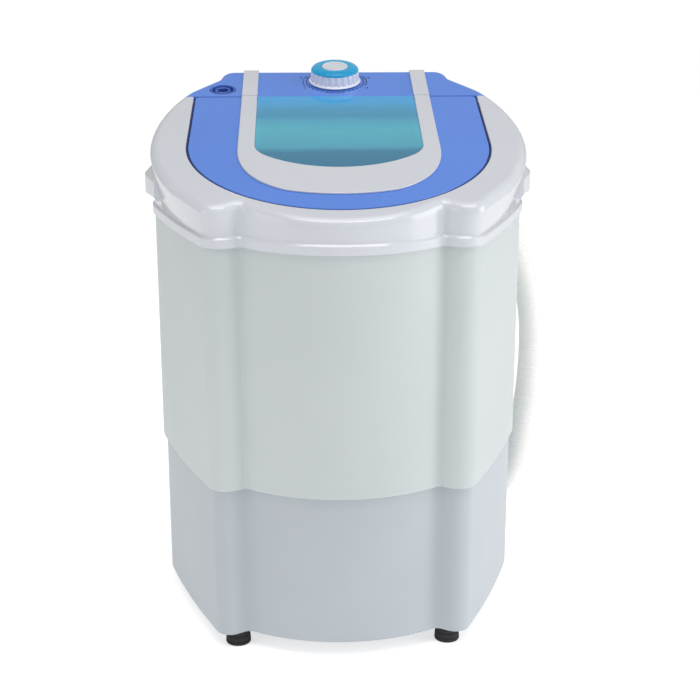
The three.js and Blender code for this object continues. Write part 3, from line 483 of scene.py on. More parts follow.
def rounded(before, corner, after, radius, steps):
    inward = (before - corner).normalized()
    outward = (after - corner).normalized()
    half = inward.angle(outward) / 2
    centre = corner + (inward + outward).normalized() * (radius / math.sin(half))
    first = corner + inward * (radius / math.tan(half)) - centre
    last = corner + outward * (radius / math.tan(half)) - centre
    sweep = math.atan2(first.x * last.y - first.y * last.x, first.dot(last))
    points = []
    for i in range(steps + 1):
        a = sweep * i / steps
        points.append(Matrix.Rotation(a, 2) @ first + centre)
    return points


# points spread evenly along a polyline, without its ends
def spread(points, steps):
    lengths = [0]
    for a, b in zip(points, points[1:]):
        lengths.append(lengths[-1] + (b - a).length)
    found = []
    for i in range(1, steps):
        goal = lengths[-1] * i / steps
        k = next(n for n, length in enumerate(lengths) if length >= goal)
        found.append(points[k - 1].lerp(points[k], (goal - lengths[k - 1]) / (lengths[k] - lengths[k - 1])))
    return found


# two arcs from the front post over the widest point to the rear notch
def sideArcs(post, rearNotch):
    half, middle = body["halfWidth"], body["deckSideLine"]

    def arc(end, count):
        inset, along = half - end.x, end.y - middle
        radius = (inset ** 2 + along ** 2) / (2 * inset)
        points = []
        for i in range(count):
            t = (i + 1) / (count + 1)
            swell = 0
            if along > 0:
                swell = body["rearSwell"] * t ** 4 * (1 - t) * 5 ** 5 / 4 ** 4  # full at t = 0.8
            across = half - radius + math.sqrt(radius ** 2 - (along * t) ** 2) + swell
            points.append(Vector((across, middle + along * t)))
        return points
    return [*reversed(arc(post, 14)), Vector((half, middle)), *arc(rearNotch, 14)]


# plan outline, from straighter sides (0) to the full arcs of the deck (1)
def planOutline(bulge, roundness=body["roundness"]):
    b = body
    half, front, back = b["halfWidth"], b["frontReach"], b["backReach"]
    notch = Vector((half - b["notchInset"], b["notchSetback"] - front))
    post = Vector((half - b["postInset"], b["postSetback"] - front))
    side = Vector((half + 6, b["sideLine"]))
    rearNotch = Vector((half - b["rearNotchInset"], back - b["rearNotchSetback"]))
    rearCorner = Vector((half - b["rearCornerInset"], back))
    rearMiddle = Vector((0, back))
    radius = (notch.x ** 2 + bulge ** 2) / (2 * bulge)
    span = math.asin(notch.x / radius)
    front = []
    for i in range(21):
        a = span * 0.92 * i / 20
        front.append(Vector((radius * math.sin(a), notch.y - bulge + radius * (1 - math.cos(a)))))
    straight = spread([post, *rounded(post, side, rearNotch, b["sideRadius"], 20), rearNotch], 48)
    arced = spread([post, *sideArcs(post, rearNotch), rearNotch], 48)
    flank = [one.lerp(two, roundness) for one, two in zip(straight, arced)]
    frontCorner = rounded(notch, post, flank[5], b["postRadius"], 10)
    rearBend = rounded(flank[-6], rearNotch, rearCorner, b["rearNotchRadius"], 8)
    points = front + rounded(front[-1], notch, post, min(b["notchRadius"], bulge / 6), 7) + frontCorner
    points = points + spread([frontCorner[-1], *flank[8:-5], rearBend[0]], 40) + rearBend
    points = points + rounded(rearNotch, rearCorner, rearMiddle, b["rearCornerRadius"], 9)
    middle = [points[-1].lerp(rearMiddle, t) for t in (0.33, 0.66)]
    points = points + middle
    return points + [Vector((-p.x, p.y)) for p in reversed(points[1:])]


def offset(outline, inset):
    shifted = []
    for i, point in enumerate(outline):
        one = (point - outline[i - 1]).normalized()
        two = (outline[(i + 1) % len(outline)] - point).normalized()
        left = Vector((-one.y - two.y, one.x + two.x))
        shifted.append(point + left * (inset / (1 + one.dot(two))))
    return shifted


def bulgeAt(z):
    return body["notchSetback"] - max(0, body["rimZ"] - z) * body["bulgeDraft"]


def ring(inset, z):
    return [(p.x, p.y, z) for p in offset(planOutline(bulgeAt(z)), inset)]


# tub

tubSizes = {"floorZ": 172, "floor": 3, "wellRadius": 84, "wellDepth": 8, "sealRadius": 12,
            "drain": (40, 118, 10)}


def buildTub():
    t = tubSizes
    top = body["rimZ"] - 3 - gap
    floor = t["floorZ"] + t["floor"]
    levels = [(wall, t["floorZ"]), (wall, body["seamZ"] + 0.3), (wall - 0.4, body["seamZ"]),
              (0.9, body["seamZ"]), (0.3, body["seamZ"] + 0.3), (0, body["seamZ"] + 1), (0, 200), (0, 260),
              (0, 320), (0, 394), (0, top - 0.4), (0.4, top), (wall - 0.4, top), (wall, top - 0.4),
              (wall, 300), (wall, floor + 8), (wall + 0.6, floor + 5), (wall + 2.4, floor + 2.2),
              (wall + 5, floor + 0.6), (wall + 8, floor)]
    tub = loft("tub", [ring(inset, z) for inset, z in levels])
    under = floor - t["wellDepth"] - t["floor"]
    r, deep = t["wellRadius"], floor - t["wellDepth"]
    outer = [(0, under), (r + wall - 2, under), (r + wall, under + 2), (r + wall, floor), (0, floor)]
    combine(tub, lathe("cup", outer, 96), "UNION")
    well = [(0, deep), (r - 3, deep), (r - 0.9, deep + 0.9), (r, deep + 3), (r, floor - 2),
            (r + 0.6, floor - 0.6), (r + 2, floor), (r + 2, floor + 1), (0, floor + 1)]
    combine(tub, lathe("well", well, 96))
    combine(tub, rod("seal", t["sealRadius"], under - 1, floor, 40))
    x, y, radius = t["drain"]
    combine(tub, moved(rod("drain", radius, t["floorZ"] - 1, floor + 1), at(x, y, 0)))
    return finishPiece(tub, "washTub", "naturalTub", "cabinet", ["wash_tub"])


buildTub()
print("tub made")

# base

baseSizes = {"outlet": (-60, 48), "outletRadius": 10.5, "rounding": 2.2}


def buildBase():
    step, inner = body["baseStep"], body["baseStep"] + wall
    low, high = body["footHeight"], tubSizes["floorZ"] - gap
    r = baseSizes["rounding"]
    levels = [(inner, high - 0.4), (inner, low + 0.4), (inner - 0.4, low), (step + r, low),
              (step + r * 0.3, low + r * 0.3), (step, low + r), (step, 60), (step, 110), (step, high - 0.3),
              (step + 0.3, high), (inner - 0.3, high)]
    base = loft("base", [ring(inset, z) for inset, z in levels], capped=False)
    hole = rod("hole", baseSizes["outletRadius"], 150, 200, 40)
    x, z = baseSizes["outlet"]
    combine(base, moved(hole, at(x, 0, z) @ turned(-90, "X")))
    return finishPiece(base, "baseShell", "baseWhite", "cabinet", ["base_shell"])


buildBase()

foot = {"x": 101, "y": 128, "radius": 12, "sides": 40}
for side, sx in (("left", -1), ("right", 1)):
    for end, sy in (("front", -1), ("rear", 1)):
        r, h = foot["radius"], body["footHeight"] + 1 - gap
        profile = [(0, 0.5), (r - 5, 0.5), (r - 4.2, 0), (r - 1.2, 0), (r - 0.4, 0.4), (r, 1.2), (r, 3),
                   (r - 0.7, 3.5), (r - 0.7, 4.2), (r - 0.1, 4.7), (r - 0.4, 8.4), (r - 1, 8.9),
                   (r - 1, 9.6), (r - 0.6, 10.1), (r - 1, h - 0.5), (r - 1.5, h), (0, h)]
        piece = moved(lathe("foot", profile, foot["sides"]), at(sx * foot["x"], sy * foot["y"], 0))
        finishPiece(piece, f"foot{end.title()}{side.title()}", "footRubber", "cabinet",
                    [f"foot_{end}_{side}"])
print("base and feet made")

# deck plane and top cover

deck = {"rise": 21, "slope": 13.5, "edgeRadius": 8, "panelDepth": 12, "tray": 2.5, "bulkheadY": 109.5,
        "bulkheadWall": 2.5}
slope = math.radians(deck["slope"])
deckZero = body["rimZ"] + deck["rise"] + body["frontReach"] * math.tan(slope)


def deckAt(y):
    return deckZero + y * math.tan(slope)


def alongDeck(y):
    return y / math.cos(slope)


deckMatrix = at(0, 0, deckZero) @ turned(deck["slope"], "X")


def onDeck(obj):
    return moved(obj, deckMatrix)


# rings over the rounded edge of the deck
def edgeRings(grow):
    outline = planOutline(body["notchSetback"], 1)
    r = deck["edgeRadius"]
    rings = []
    for i in range(9):
        a = pi / 2 * i / 8
        inset, drop = r * (1 - math.cos(a)) - grow, r * (1 - math.sin(a)) - grow
        rings.append([(p.x, p.y, deckAt(p.y) - drop) for p in offset(outline, inset)])
    return rings


def coverSkin(name, grow, bottom):
    foot = offset(planOutline(body["notchSetback"]), -grow)
    rings = [[(p.x, p.y, z) for p in foot] for z in (bottom, body["rimZ"] + 1)]
    return loft(name, rings + edgeRings(grow))


def deckBlock(low, high):
    return onDeck(block("deckBlock", low, high))


# prism in the deck plane whose walls step in and out: (outset, height) levels
def deckLoft(name, outline, levels):
    return onDeck(loft(name, [[(p.x, p.y, h) for p in offset(outline, -outset)] for outset, h in levels]))


def bezier(start, bend, finish, steps):
    shares = [i / steps for i in range(steps + 1)]
    return [start * (1 - t) ** 2 + bend * 2 * t * (1 - t) + finish * t * t for t in shares]


lidSizes = {"sideMargin": 37, "frontMargin": 23, "sideGap": 1.9, "frontGap": 1.5, "thickness": 6,
            "seamY": 105.5, "seamGap": 1.2, "hingeSetback": 9.2, "hingeDepth": 3, "pinRadius": 1.5,
            "pinReach": 5, "ledge": 8, "barDepth": 9, "frameInset": 47, "frameWidth": 16, "frameFront": 30,
            "frameFrontWidth": 58, "frameRise": 1.8, "windowThickness": 2.5}
lidSizes["seamV"] = alongDeck(lidSizes["seamY"])
lidRear = lidSizes["seamV"] - lidSizes["seamGap"] / 2
lidHalf = body["halfWidth"] - lidSizes["sideMargin"]
lidFront = -alongDeck(body["frontReach"] - lidSizes["frontMargin"])
openingHalf = lidHalf + lidSizes["sideGap"]
openingFront = lidFront - lidSizes["frontGap"]
pinEnd = lidHalf + lidSizes["pinReach"]
hingeV = lidRear - lidSizes["hingeSetback"]
frameHalf = lidHalf - lidSizes["frameInset"]
frameEdge = lidFront + lidSizes["frameFront"]
windowHalf = frameHalf - lidSizes["frameWidth"]
windowEdge = frameEdge + lidSizes["frameFrontWidth"]
paneLow = lidSizes["frameRise"] - 1.2 - lidSizes["windowThickness"]


# straight sides and a round front, anticlockwise
def lidOutline(half, front, rear, corner):
    middle = front + half / math.cos(slope)
    angles = [pi * i / 96 for i in range(97)]
    points = [Vector((-half * math.cos(a), middle - (middle - front) * math.sin(a))) for a in angles]
    right = bezier(Vector((half, rear - corner)), Vector((half, rear)), Vector((half - corner, rear)), 6)
    return points + right + [Vector((-p.x, p.y)) for p in reversed(right)]


# straight sides, a shallow front arc and wide corners, anticlockwise
def yokeOutline(half, front, rear, arcRadius, cornerSide, cornerFront):
    def arc(x):
        return front + arcRadius - math.sqrt(arcRadius ** 2 - x ** 2)
    inner = half - cornerFront
    right = bezier(Vector((inner, arc(inner))), Vector((half, arc(half))),
                   Vector((half, arc(half) + cornerSide)), 18)
    centre = [Vector((inner * (i - 14) / 14, 0)) for i in range(1, 28)]
    centre = [Vector((p.x, arc(p.x))) for p in centre]
    left = [Vector((-p.x, p.y)) for p in reversed(right)]
    return left + centre + right + [Vector((half, rear)), Vector((-half, rear))]


def yoke(grow, rear):
    return yokeOutline(frameHalf + grow, frameEdge - grow, rear, frameHalf + 54, 68, 46)


def pane(grow, rear):
    return yokeOutline(windowHalf + grow, windowEdge - grow, rear, windowHalf + 20, 15, 10)


def hingePin(side, radius, first, last):
    pin = rod("pin", radius, first, last, 20)
    return onDeck(moved(pin, at(0, hingeV, -lidSizes["hingeDepth"]) @ turned(side * 90, "Y")))


knobSizes = {"y": 147, "radius": 25.5, "flange": 27, "skirt": 12.8, "height": 17.6, "cap": 13.6,
             "timer": 42, "flutes": 24, "fluteDepth": 0.9}
inletSizes = {"y": 126, "outset": 20.25, "radius": 13, "bore": 6}
knobV = alongDeck(knobSizes["y"])
inletV = alongDeck(inletSizes["y"])
inletX = -frameHalf - inletSizes["outset"]


def rimLoft():
    proud, rim, low = body["rimProud"], body["rimZ"], body["rimZ"] - body["rimBand"]
    levels = [(-proud + 0.7, low), (-proud + 0.2, low + 0.2), (-proud, low + 0.7), (-proud, rim - 2.2),
              (-proud + 0.12, rim - 1.9), (-proud + 1.5, rim - 0.35), (-proud + 1.8, rim - 0.12),
              (-0.3, rim), (-0.1, rim + 0.25), (0, rim + 1)]
    return loft("cover", [ring(inset, z) for inset, z in levels] + edgeRings(0))


# grip on one side: a bump with chamfered shoulders that grows out of the skirt
gripSizes = {"length": 52, "height": 16, "lift": 22, "reach": 8.5, "root": 3.5, "taper": 0.25,
             "topChamfer": 9, "lowChamfer": 5, "rounding": 1.6, "stations": 44}


def buildGrip(side):
    g = gripSizes
    middle = (body["sideLine"] + body["deckSideLine"]) / 2
    rings = []
    for i in range(1, g["stations"]):
        t = 2 * i / g["stations"] - 1
        y = middle + g["length"] * t
        swell = math.cos(pi * t / 2) ** 2
        core = body["halfWidth"] - (y - 10) ** 2 / 480 - 4
        depth, size = g["root"] + g["reach"] * swell, 1 - g["taper"] + g["taper"] * swell
        high = g["height"] * size
        corners = [Vector((-4, -high)), Vector((depth * 0.3, -high)),
                   Vector((depth, g["lowChamfer"] * size - high)),
                   Vector((depth, high - g["topChamfer"] * size)), Vector((depth * 0.3, high)),
                   Vector((-4, high))]
        section = [corners[0]]
        for before, corner, after in zip(corners, corners[1:], corners[2:]):
            section += rounded(before, corner, after, g["rounding"] * size, 5)
        section.append(corners[-1])
        rings.append([(side * (core + p.x), y, body["rimZ"] + g["lift"] + p.y) for p in section])
    return loft("grip", rings)


beyond = 260  # past every side of the body


def buildCover():
    rim = body["rimZ"]
    cover = rimLoft()
    for side in (-1, 1):
        combine(cover, buildGrip(side), "UNION")
    combine(cover, loft("socket", [ring(-gap, rim - body["rimBand"] - 1), ring(-gap, rim - 3)]))
    bulkhead = deck["bulkheadY"]
    for low, high, under in ((-beyond, bulkhead, False), (bulkhead + deck["bulkheadWall"], beyond, True)):
        inside = coverSkin("inside", -wall, rim - 4)
        combine(inside, block("half", (-beyond, low, rim - 5), (beyond, high, 700)), "INTERSECT")
        if under:
            ceiling = -deck["panelDepth"] - gap - deck["tray"]
            combine(inside, deckBlock((-beyond, -beyond, -beyond), (beyond, beyond, ceiling)), "INTERSECT")
        combine(cover, inside)
    past = lidSizes["seamV"] + 3
    rest = -lidSizes["thickness"] - gap
    wellWall = deckLoft("wellWall", lidOutline(openingHalf + wall, openingFront - wall, past, 1),
                        [(0, rest - wall), (0, -1)])
    combine(cover, wellWall, "UNION")
    for side in (-1, 1):
        ends = sorted((side * (openingHalf - 1), side * (pinEnd + 0.8)))
        boss = deckBlock((ends[0], hingeV - 6, -lidSizes["hingeDepth"] - 6), (ends[1], hingeV + 6, -1))
        combine(cover, boss, "UNION")
    edge = lidOutline(openingHalf, openingFront, past, 1)
    lip = [(0, rest), (0, -1.3), (0.12, -0.7), (0.45, -0.25), (1.1, 0), (1.1, 20)]
    combine(cover, deckLoft("well", edge, lip))
    mouth = lidOutline(openingHalf - lidSizes["ledge"], openingFront + lidSizes["ledge"], past, 1)
    combine(cover, deckLoft("mouth", mouth, [(0, -deck["panelDepth"]), (0, -7.2), (0.3, -6.6), (0.9, rest),
                                             (0.9, 20)]))
    combine(cover, deckBlock((-openingHalf, hingeV - 8, -deck["panelDepth"]), (openingHalf, past, 20)))
    combine(cover, deckBlock((-beyond, lidSizes["seamV"] + gap, -deck["panelDepth"] - gap),
                             (beyond, beyond, 60)))
    hole = knobSizes["timer"] / 2 + 2
    combine(cover, deckBlock((-hole, knobV - hole, -22), (hole, knobV + hole, 0)))
    pipeRadius = inletSizes["bore"] + 3
    combine(cover, onDeck(moved(rod("pipe", pipeRadius, -22, 0), at(inletX, inletV, 0))))
    for side in (-1, 1):
        combine(cover, hingePin(side, lidSizes["pinRadius"] + gap, openingHalf - 5, pinEnd + gap))
        pocket = lathe("pocket", [(0, 0), (4.2, 0), (4.6, 3), (0, 3)], 28)
        place = at(side * 70, body["backReach"] + body["rimProud"] - 1.7, rim - body["rimBand"] / 2)
        combine(cover, moved(pocket, place @ turned(-90, "X")))
    place = at(inletX + 4, bulkhead, deckAt(bulkhead) - 32)
    combine(cover, moved(rod("spout", pipeRadius, -10, 10), place @ turned(90, "X")))
    return finishPiece(cover, "topCover", "pearlWhite", "cabinet", ["top_cover"])


buildCover()
print("top cover made")

# control panel with its two bright strips

panelFront = lidSizes["seamV"] + lidSizes["seamGap"] / 2


def buildPanel():
    panel = coverSkin("panel", 0, body["rimZ"])
    combine(panel, deckBlock((-beyond, panelFront, -deck["panelDepth"]), (beyond, beyond, 60)), "INTERSECT")
    inner = coverSkin("inner", -wall, body["rimZ"])
    combine(inner, deckBlock((-beyond, panelFront + wall, -deck["panelDepth"] - 1), (beyond, beyond, 60)),
            "INTERSECT")
    combine(panel, inner)
    combine(panel, onDeck(moved(rod("shaft", 5, -5, 5), at(0, knobV, 0))))
    r = inletSizes["radius"] + gap
    cup = lathe("cup", [(0, -5), (r, -5), (r, -0.6), (r + 0.6, 0), (r + 0.6, 5), (0, 5)], 64)
    combine(panel, onDeck(moved(cup, at(inletX, inletV, 0))))
    return finishPiece(panel, "controlPanel", "lidBlue", "cabinet", ["control_panel"], bevel=0.5)


buildPanel()
for name, side in (("Left", -1), ("Right", 1)):
    ends = sorted((side * windowHalf, side * frameHalf))
    strip = coverSkin("strip", lidSizes["frameRise"], body["rimZ"])
    combine(strip, coverSkin("under", gap, body["rimZ"] - 1))
    combine(strip, deckBlock((ends[0], panelFront, -deck["panelDepth"]), (ends[1], beyond, 60)), "INTERSECT")
    finishPiece(strip, "panelStrip" + name, "pearlWhite", "cabinet", ["panel_strip_" + name.lower()],
                bevel=0.55)
print("control panel made")


# lid
def buildLid():
    s = lidSizes
    outline = lidOutline(lidHalf, lidFront, lidRear, 5)
    levels = [(-0.4, -s["thickness"]), (0, -s["thickness"] + 0.4), (0, -1.2), (-0.12, -0.65), (-0.4, -0.22),
              (-1, 0)]
    lid = deckLoft("lid", outline, levels)
    hollow = deckLoft("hollow", lidOutline(lidHalf - 3, lidFront + 3, lidRear - 16, 3),
                      [(0, -9), (0, -3.2), (-0.8, -2.6)])
    rim = deckLoft("rim", pane(8, lidRear - 10), [(0, -9), (0, 0)])
    combine(hollow, rim)
    combine(lid, hollow)
    combine(lid, deckLoft("hole", pane(4, lidRear - s["barDepth"]), [(0, -s["thickness"] - 1), (0, 1)]))
    combine(lid, deckBlock((-windowHalf - 4, lidRear - s["barDepth"] - 1, paneLow - gap),
                           (windowHalf + 4, lidRear + 1, 1)))
    for side in (-1, 1):
        combine(lid, hingePin(side, s["pinRadius"] + gap, lidHalf - 12, lidHalf + 5))
    finishPiece(lid, "lidPanel", "lidBlue", "lid", ["lid_panel"])


def buildFrame():
    s = lidSizes
    rise = s["frameRise"]
    stop = lidRear - s["barDepth"] - gap
    levels = [(0, gap), (0, rise - 0.9), (-0.12, rise - 0.45), (-0.4, rise - 0.15), (-0.9, rise)]
    frameTop = deckLoft("frame", yoke(0, lidRear), levels)
    combine(frameTop, deckLoft("skirt", pane(4 - gap, stop), [(0, -s["thickness"]), (0, gap + 0.5)]), "UNION")
    chamfer = [(0, paneLow - gap), (0, rise - 1.25), (0.15, rise - 0.8), (0.5, rise - 0.3), (1.2, rise),
               (1.2, rise + 2)]
    combine(frameTop, deckLoft("seat", pane(0, lidRear + 3), chamfer))
    combine(frameTop, deckLoft("through", pane(-4, lidRear + 3), [(0, -s["thickness"] - 1), (0, paneLow)]))
    finishPiece(frameTop, "lidFrame", "pearlWhite", "lid", ["lid_frame"])


def buildWindow():
    high = paneLow + lidSizes["windowThickness"]
    levels = [(-0.3, paneLow), (0, paneLow + 0.3), (0, high - 0.5), (-0.15, high - 0.15), (-0.5, high)]
    finishPiece(deckLoft("window", pane(-gap, lidRear), levels), "lidWindow", "windowTeal", "lid",
                ["lid_window"])


# dark strip that fills the gap round the lid: painted shade, a dark piece standing in for the shadow in the
# gap
def buildSeal():
    low = -lidSizes["thickness"] - gap
    strip = deckLoft("strip", lidOutline(openingHalf - 0.2, openingFront + 0.2, hingeV - 2.2, 1),
                     [(0, low), (0, low + 5.4), (-0.2, low + 5.7)])
    combine(strip, deckLoft("lidSpace", lidOutline(lidHalf + 0.5, lidFront - 0.5, hingeV, 5),
                            [(0, low - 1), (0, low + 6)]))
    finishPiece(strip, "lidGapShade", "gapShadeNavy", "cabinet")


buildLid()
buildFrame()
buildWindow()
buildSeal()
print("lid made")


# geometry node trees, each built once with named inputs
def newGeometryTree(name, inputs):
    tree = bpy.data.node_groups.new(name, "GeometryNodeTree")
    tree.interface.new_socket("Geometry", in_out="INPUT", socket_type="NodeSocketGeometry")
    addSockets(tree, "INPUT", inputs)
    tree.interface.new_socket("Geometry", in_out="OUTPUT", socket_type="NodeSocketGeometry")
    return tree, tree.nodes.new("NodeGroupInput"), tree.nodes.new("NodeGroupOutput")


def setInputs(modifier, values):
    for item in modifier.node_group.interface.items_tree:
        if item.in_out == "INPUT" and item.name in values:
            modifier[item.identifier] = values[item.name]


def closeTree(tree, start, end, geometry):
    realize = node(tree, "GeometryNodeRealizeInstances")
    paint = node(tree, "GeometryNodeSetMaterial")
    tree.links.new(geometry, realize.inputs[0])
    tree.links.new(realize.outputs[0], paint.inputs["Geometry"])
    tree.links.new(start.outputs["Material"], paint.inputs["Material"])
    tree.links.new(paint.outputs[0], end.inputs[0])


# flutes round an upright axis: radius swells and sinks between two heights
flutedSkirt, start, end = newGeometryTree(
    "flutedSkirt", {"Flutes": 24.0, "Depth": 0.0006, "Low": 0.0, "High": 0.01, "Core": 0.02,
                    "Sharpness": 2.0, "Material": None})
calc = arithmetic(flutedSkirt)
link = flutedSkirt.links.new
spot = node(flutedSkirt, "ShaderNodeSeparateXYZ")
link(node(flutedSkirt, "GeometryNodeInputPosition").outputs[0], spot.inputs[0])
angle = calc("ARCTAN2", spot.outputs[1], spot.outputs[0])
wave = calc("COSINE", calc("MULTIPLY", angle, start.outputs["Flutes"]))
wave = calc("MULTIPLY_ADD", wave, start.outputs["Sharpness"], 0.5, clamp=True)
above = calc("GREATER_THAN", spot.outputs[2], start.outputs["Low"])
below = calc("LESS_THAN", spot.outputs[2], start.outputs["High"])
flat = node(flutedSkirt, "ShaderNodeCombineXYZ")
link(spot.outputs[0], flat.inputs[0])
link(spot.outputs[1], flat.inputs[1])
length = node(flutedSkirt, "ShaderNodeVectorMath", operation="LENGTH")
link(flat.outputs[0], length.inputs[0])
outside = calc("GREATER_THAN", length.outputs["Value"], start.outputs["Core"])
amount = calc("MULTIPLY", calc("MULTIPLY", above, below), outside)
amount = calc("MULTIPLY", calc("MULTIPLY", amount, wave), start.outputs["Depth"])
direction = node(flutedSkirt, "ShaderNodeVectorMath", operation="NORMALIZE")
link(flat.outputs[0], direction.inputs[0])
push = node(flutedSkirt, "ShaderNodeVectorMath", operation="SCALE")
link(direction.outputs[0], push.inputs[0])
link(calc("MULTIPLY", amount, -1), push.inputs["Scale"])
shift = node(flutedSkirt, "GeometryNodeSetPosition")
link(start.outputs["Geometry"], shift.inputs["Geometry"])
link(push.outputs[0], shift.inputs["Offset"])
closeTree(flutedSkirt, start, end, shift.outputs[0])

# bars set out along an arc, each pointing at the middle
arcTicks, start, end = newGeometryTree(
    "arcTicks", {"Count": 12, "Radius": 0.03, "First Angle": 0.0, "Sweep": 3.0, "Length": 0.002,
                 "Width": 0.0005, "Height": 0.0001, "Material": None})
calc = arithmetic(arcTicks)
link = arcTicks.links.new
line = node(arcTicks, "GeometryNodeMeshLine", mode="OFFSET")
link(start.outputs["Count"], line.inputs["Count"])
index = node(arcTicks, "GeometryNodeInputIndex").outputs[0]
last = calc("MAXIMUM", calc("SUBTRACT", start.outputs["Count"], 1), 1)
share = calc("DIVIDE", index, last)
turn = calc("MULTIPLY_ADD", share, start.outputs["Sweep"], start.outputs["First Angle"])
spot = node(arcTicks, "ShaderNodeCombineXYZ")
for i, wave in enumerate(("COSINE", "SINE")):
    link(calc("MULTIPLY", calc(wave, turn), start.outputs["Radius"]), spot.inputs[i])
shift = node(arcTicks, "GeometryNodeSetPosition")
link(line.outputs[0], shift.inputs["Geometry"])
link(spot.outputs[0], shift.inputs["Position"])
bar = node(arcTicks, "GeometryNodeMeshCube")
size = node(arcTicks, "ShaderNodeCombineXYZ")
for i, label in enumerate(("Length", "Width", "Height")):
    link(start.outputs[label], size.inputs[i])
link(size.outputs[0], bar.inputs["Size"])
facing = node(arcTicks, "ShaderNodeCombineXYZ")
link(turn, facing.inputs[2])
scatter = node(arcTicks, "GeometryNodeInstanceOnPoints")
link(shift.outputs[0], scatter.inputs["Points"])
link(bar.outputs["Mesh"], scatter.inputs["Instance"])
link(facing.outputs[0], scatter.inputs["Rotation"])
closeTree(arcTicks, start, end, scatter.outputs[0])

# corrugated tube along a curve: the radius follows the distance along it
corrugatedTube, start, end = newGeometryTree(
    "corrugatedTube", {"Radius": 0.0125, "Rib Depth": 0.0012, "Pitch": 0.003, "Step": 0.0005, "Sides": 24,
                       "Cuff": 0.006, "Material": None})
calc = arithmetic(corrugatedTube)
link = corrugatedTube.links.new
resample = node(corrugatedTube, "GeometryNodeResampleCurve", mode="LENGTH")
link(start.outputs["Geometry"], resample.inputs["Curve"])
link(start.outputs["Step"], resample.inputs["Length"])
along = node(corrugatedTube, "GeometryNodeSplineParameter").outputs["Length"]
total = node(corrugatedTube, "GeometryNodeSplineLength").outputs["Length"]
phase = calc("MULTIPLY", calc("DIVIDE", along, start.outputs["Pitch"]), 2 * pi)
wave = calc("MULTIPLY_ADD", calc("COSINE", phase), 0.5, 0.5, clamp=True)
nearEnd = calc("MINIMUM", along, calc("SUBTRACT", total, along))
ribbed = calc("GREATER_THAN", nearEnd, start.outputs["Cuff"])
sunk = calc("MULTIPLY", calc("MULTIPLY", wave, ribbed), start.outputs["Rib Depth"])
radius = calc("SUBTRACT", start.outputs["Radius"], sunk)
circle = node(corrugatedTube, "GeometryNodeCurvePrimitiveCircle")
circle.inputs["Radius"].default_value = 1
link(start.outputs["Sides"], circle.inputs["Resolution"])
sweep = node(corrugatedTube, "GeometryNodeCurveToMesh")
sweep.inputs["Fill Caps"].default_value = True
link(resample.outputs[0], sweep.inputs["Curve"])
link(circle.outputs[0], sweep.inputs["Profile Curve"])
link(radius, sweep.inputs["Scale"])
closeTree(corrugatedTube, start, end, sweep.outputs[0])


def grow(obj, tree, **values):
    modifier = obj.modifiers.new(tree.name, "NODES")
    modifier.node_group = tree
    setInputs(modifier, {key.replace("_", " "): value for key, value in values.items()})
    return bake(obj)


print("geometry node trees made")


# knob
def onKnob(obj):
    return onDeck(moved(obj, at(0, knobV, 0)))


def buildKnob():
    k = knobSizes
    r, top = k["radius"], k["skirt"] - 1.5
    sides = k["flutes"] * 10
    profile = [(3.3, 2), (7, 2), (7, top - 3), (r - 3, top - 3), (r - 3, 1.2), (r - 2.8, 1),
               (k["flange"] - 0.3, 1), (k["flange"], 1.3), (k["flange"], 1.9), (k["flange"] - 0.3, 2.2),
               (r + 0.5, 2.5), (r + 0.1, 3), (r, 3.6), (r, 5), (r - 0.2, 8), (r - 0.4, 11), (r - 0.6, 12.2),
               (r - 0.8, 12.65), (r - 1.1, k["skirt"]), (r - 2, k["skirt"]), (r - 2.4, top), (0, top),
               (0, 8.1), (3.3, 8.1)]
    skirt = lathe("skirt", profile, sides, closed=True)
    grow(skirt, flutedSkirt, Flutes=float(k["flutes"]), Depth=k["fluteDepth"] * mm, Low=3.3 * mm,
         High=12.4 * mm, Core=(r - 1.2) * mm, Sharpness=1.6, Material=materials["knobPearl"])
    finishPiece(onKnob(skirt), "knobSkirt", "knobPearl", "knob", ["knob_body"], angle=40)

    low = k["skirt"] + gap
    ringProfile = [(k["cap"] + gap, top + gap), (r - 3, top + gap), (r - 2.6, low), (r - 0.9, low),
                   (r - 0.75, low + 0.25), (r - 0.8, low + 0.7), (r - 1.4, low + 1.7), (r - 2.6, low + 2.7),
                   (r - 4.6, low + 3.6), (r - 7.2, low + 4.15), (k["cap"] + 1.4, low + 4.2),
                   (k["cap"] + 0.6, low + 4.05), (k["cap"] + gap, low + 3.7)]
    glassRing = lathe("ring", ringProfile, sides, closed=True)
    grow(glassRing, flutedSkirt, Flutes=float(k["flutes"]), Depth=0.5 * mm, Low=(low + 0.1) * mm,
         High=(low + 2.2) * mm, Core=(r - 2) * mm, Sharpness=1.0, Material=materials["ringCyan"])
    finishPiece(onKnob(glassRing), "knobRing", "ringCyan", "knob", ["knob_ring"], angle=45)

    c, h = k["cap"], k["height"]
    cap = lathe("cap", [(0, top + gap), (c, top + gap), (c, h - 0.8), (c - 0.15, h - 0.35),
                        (c - 0.6, h - 0.08), (c - 1.2, h), (c - 2.2, h - 0.02), (c - 2.8, h - 0.25),
                        (c - 3.6, h - 0.3), (5, h - 0.12), (0, h - 0.05)], 96)
    finishPiece(onKnob(cap), "knobCap", "capSilver", "knob", ["knob_cap"])


buildKnob()

# printed marks round the knob: two thin arcs, ticks between them and generic minutes
dial = {"inner": 29.6, "outer": 33.4, "line": 0.85, "thickness": 0.16, "clear": 0.02, "ticks": 31,
        "first": -158, "sweep": 316}


def flatArc(name, radius, width, first, sweep, steps=60):
    low, high = dial["clear"], dial["thickness"]
    section = [(-width / 2, low), (width / 2, low), (width / 2, high), (-width / 2, high)]
    rings = []
    for i in range(steps + 1):
        a = math.radians(first + sweep * i / steps)
        rings.append([polar(radius + across, a, h) for across, h in section])
    return loft(name, rings)


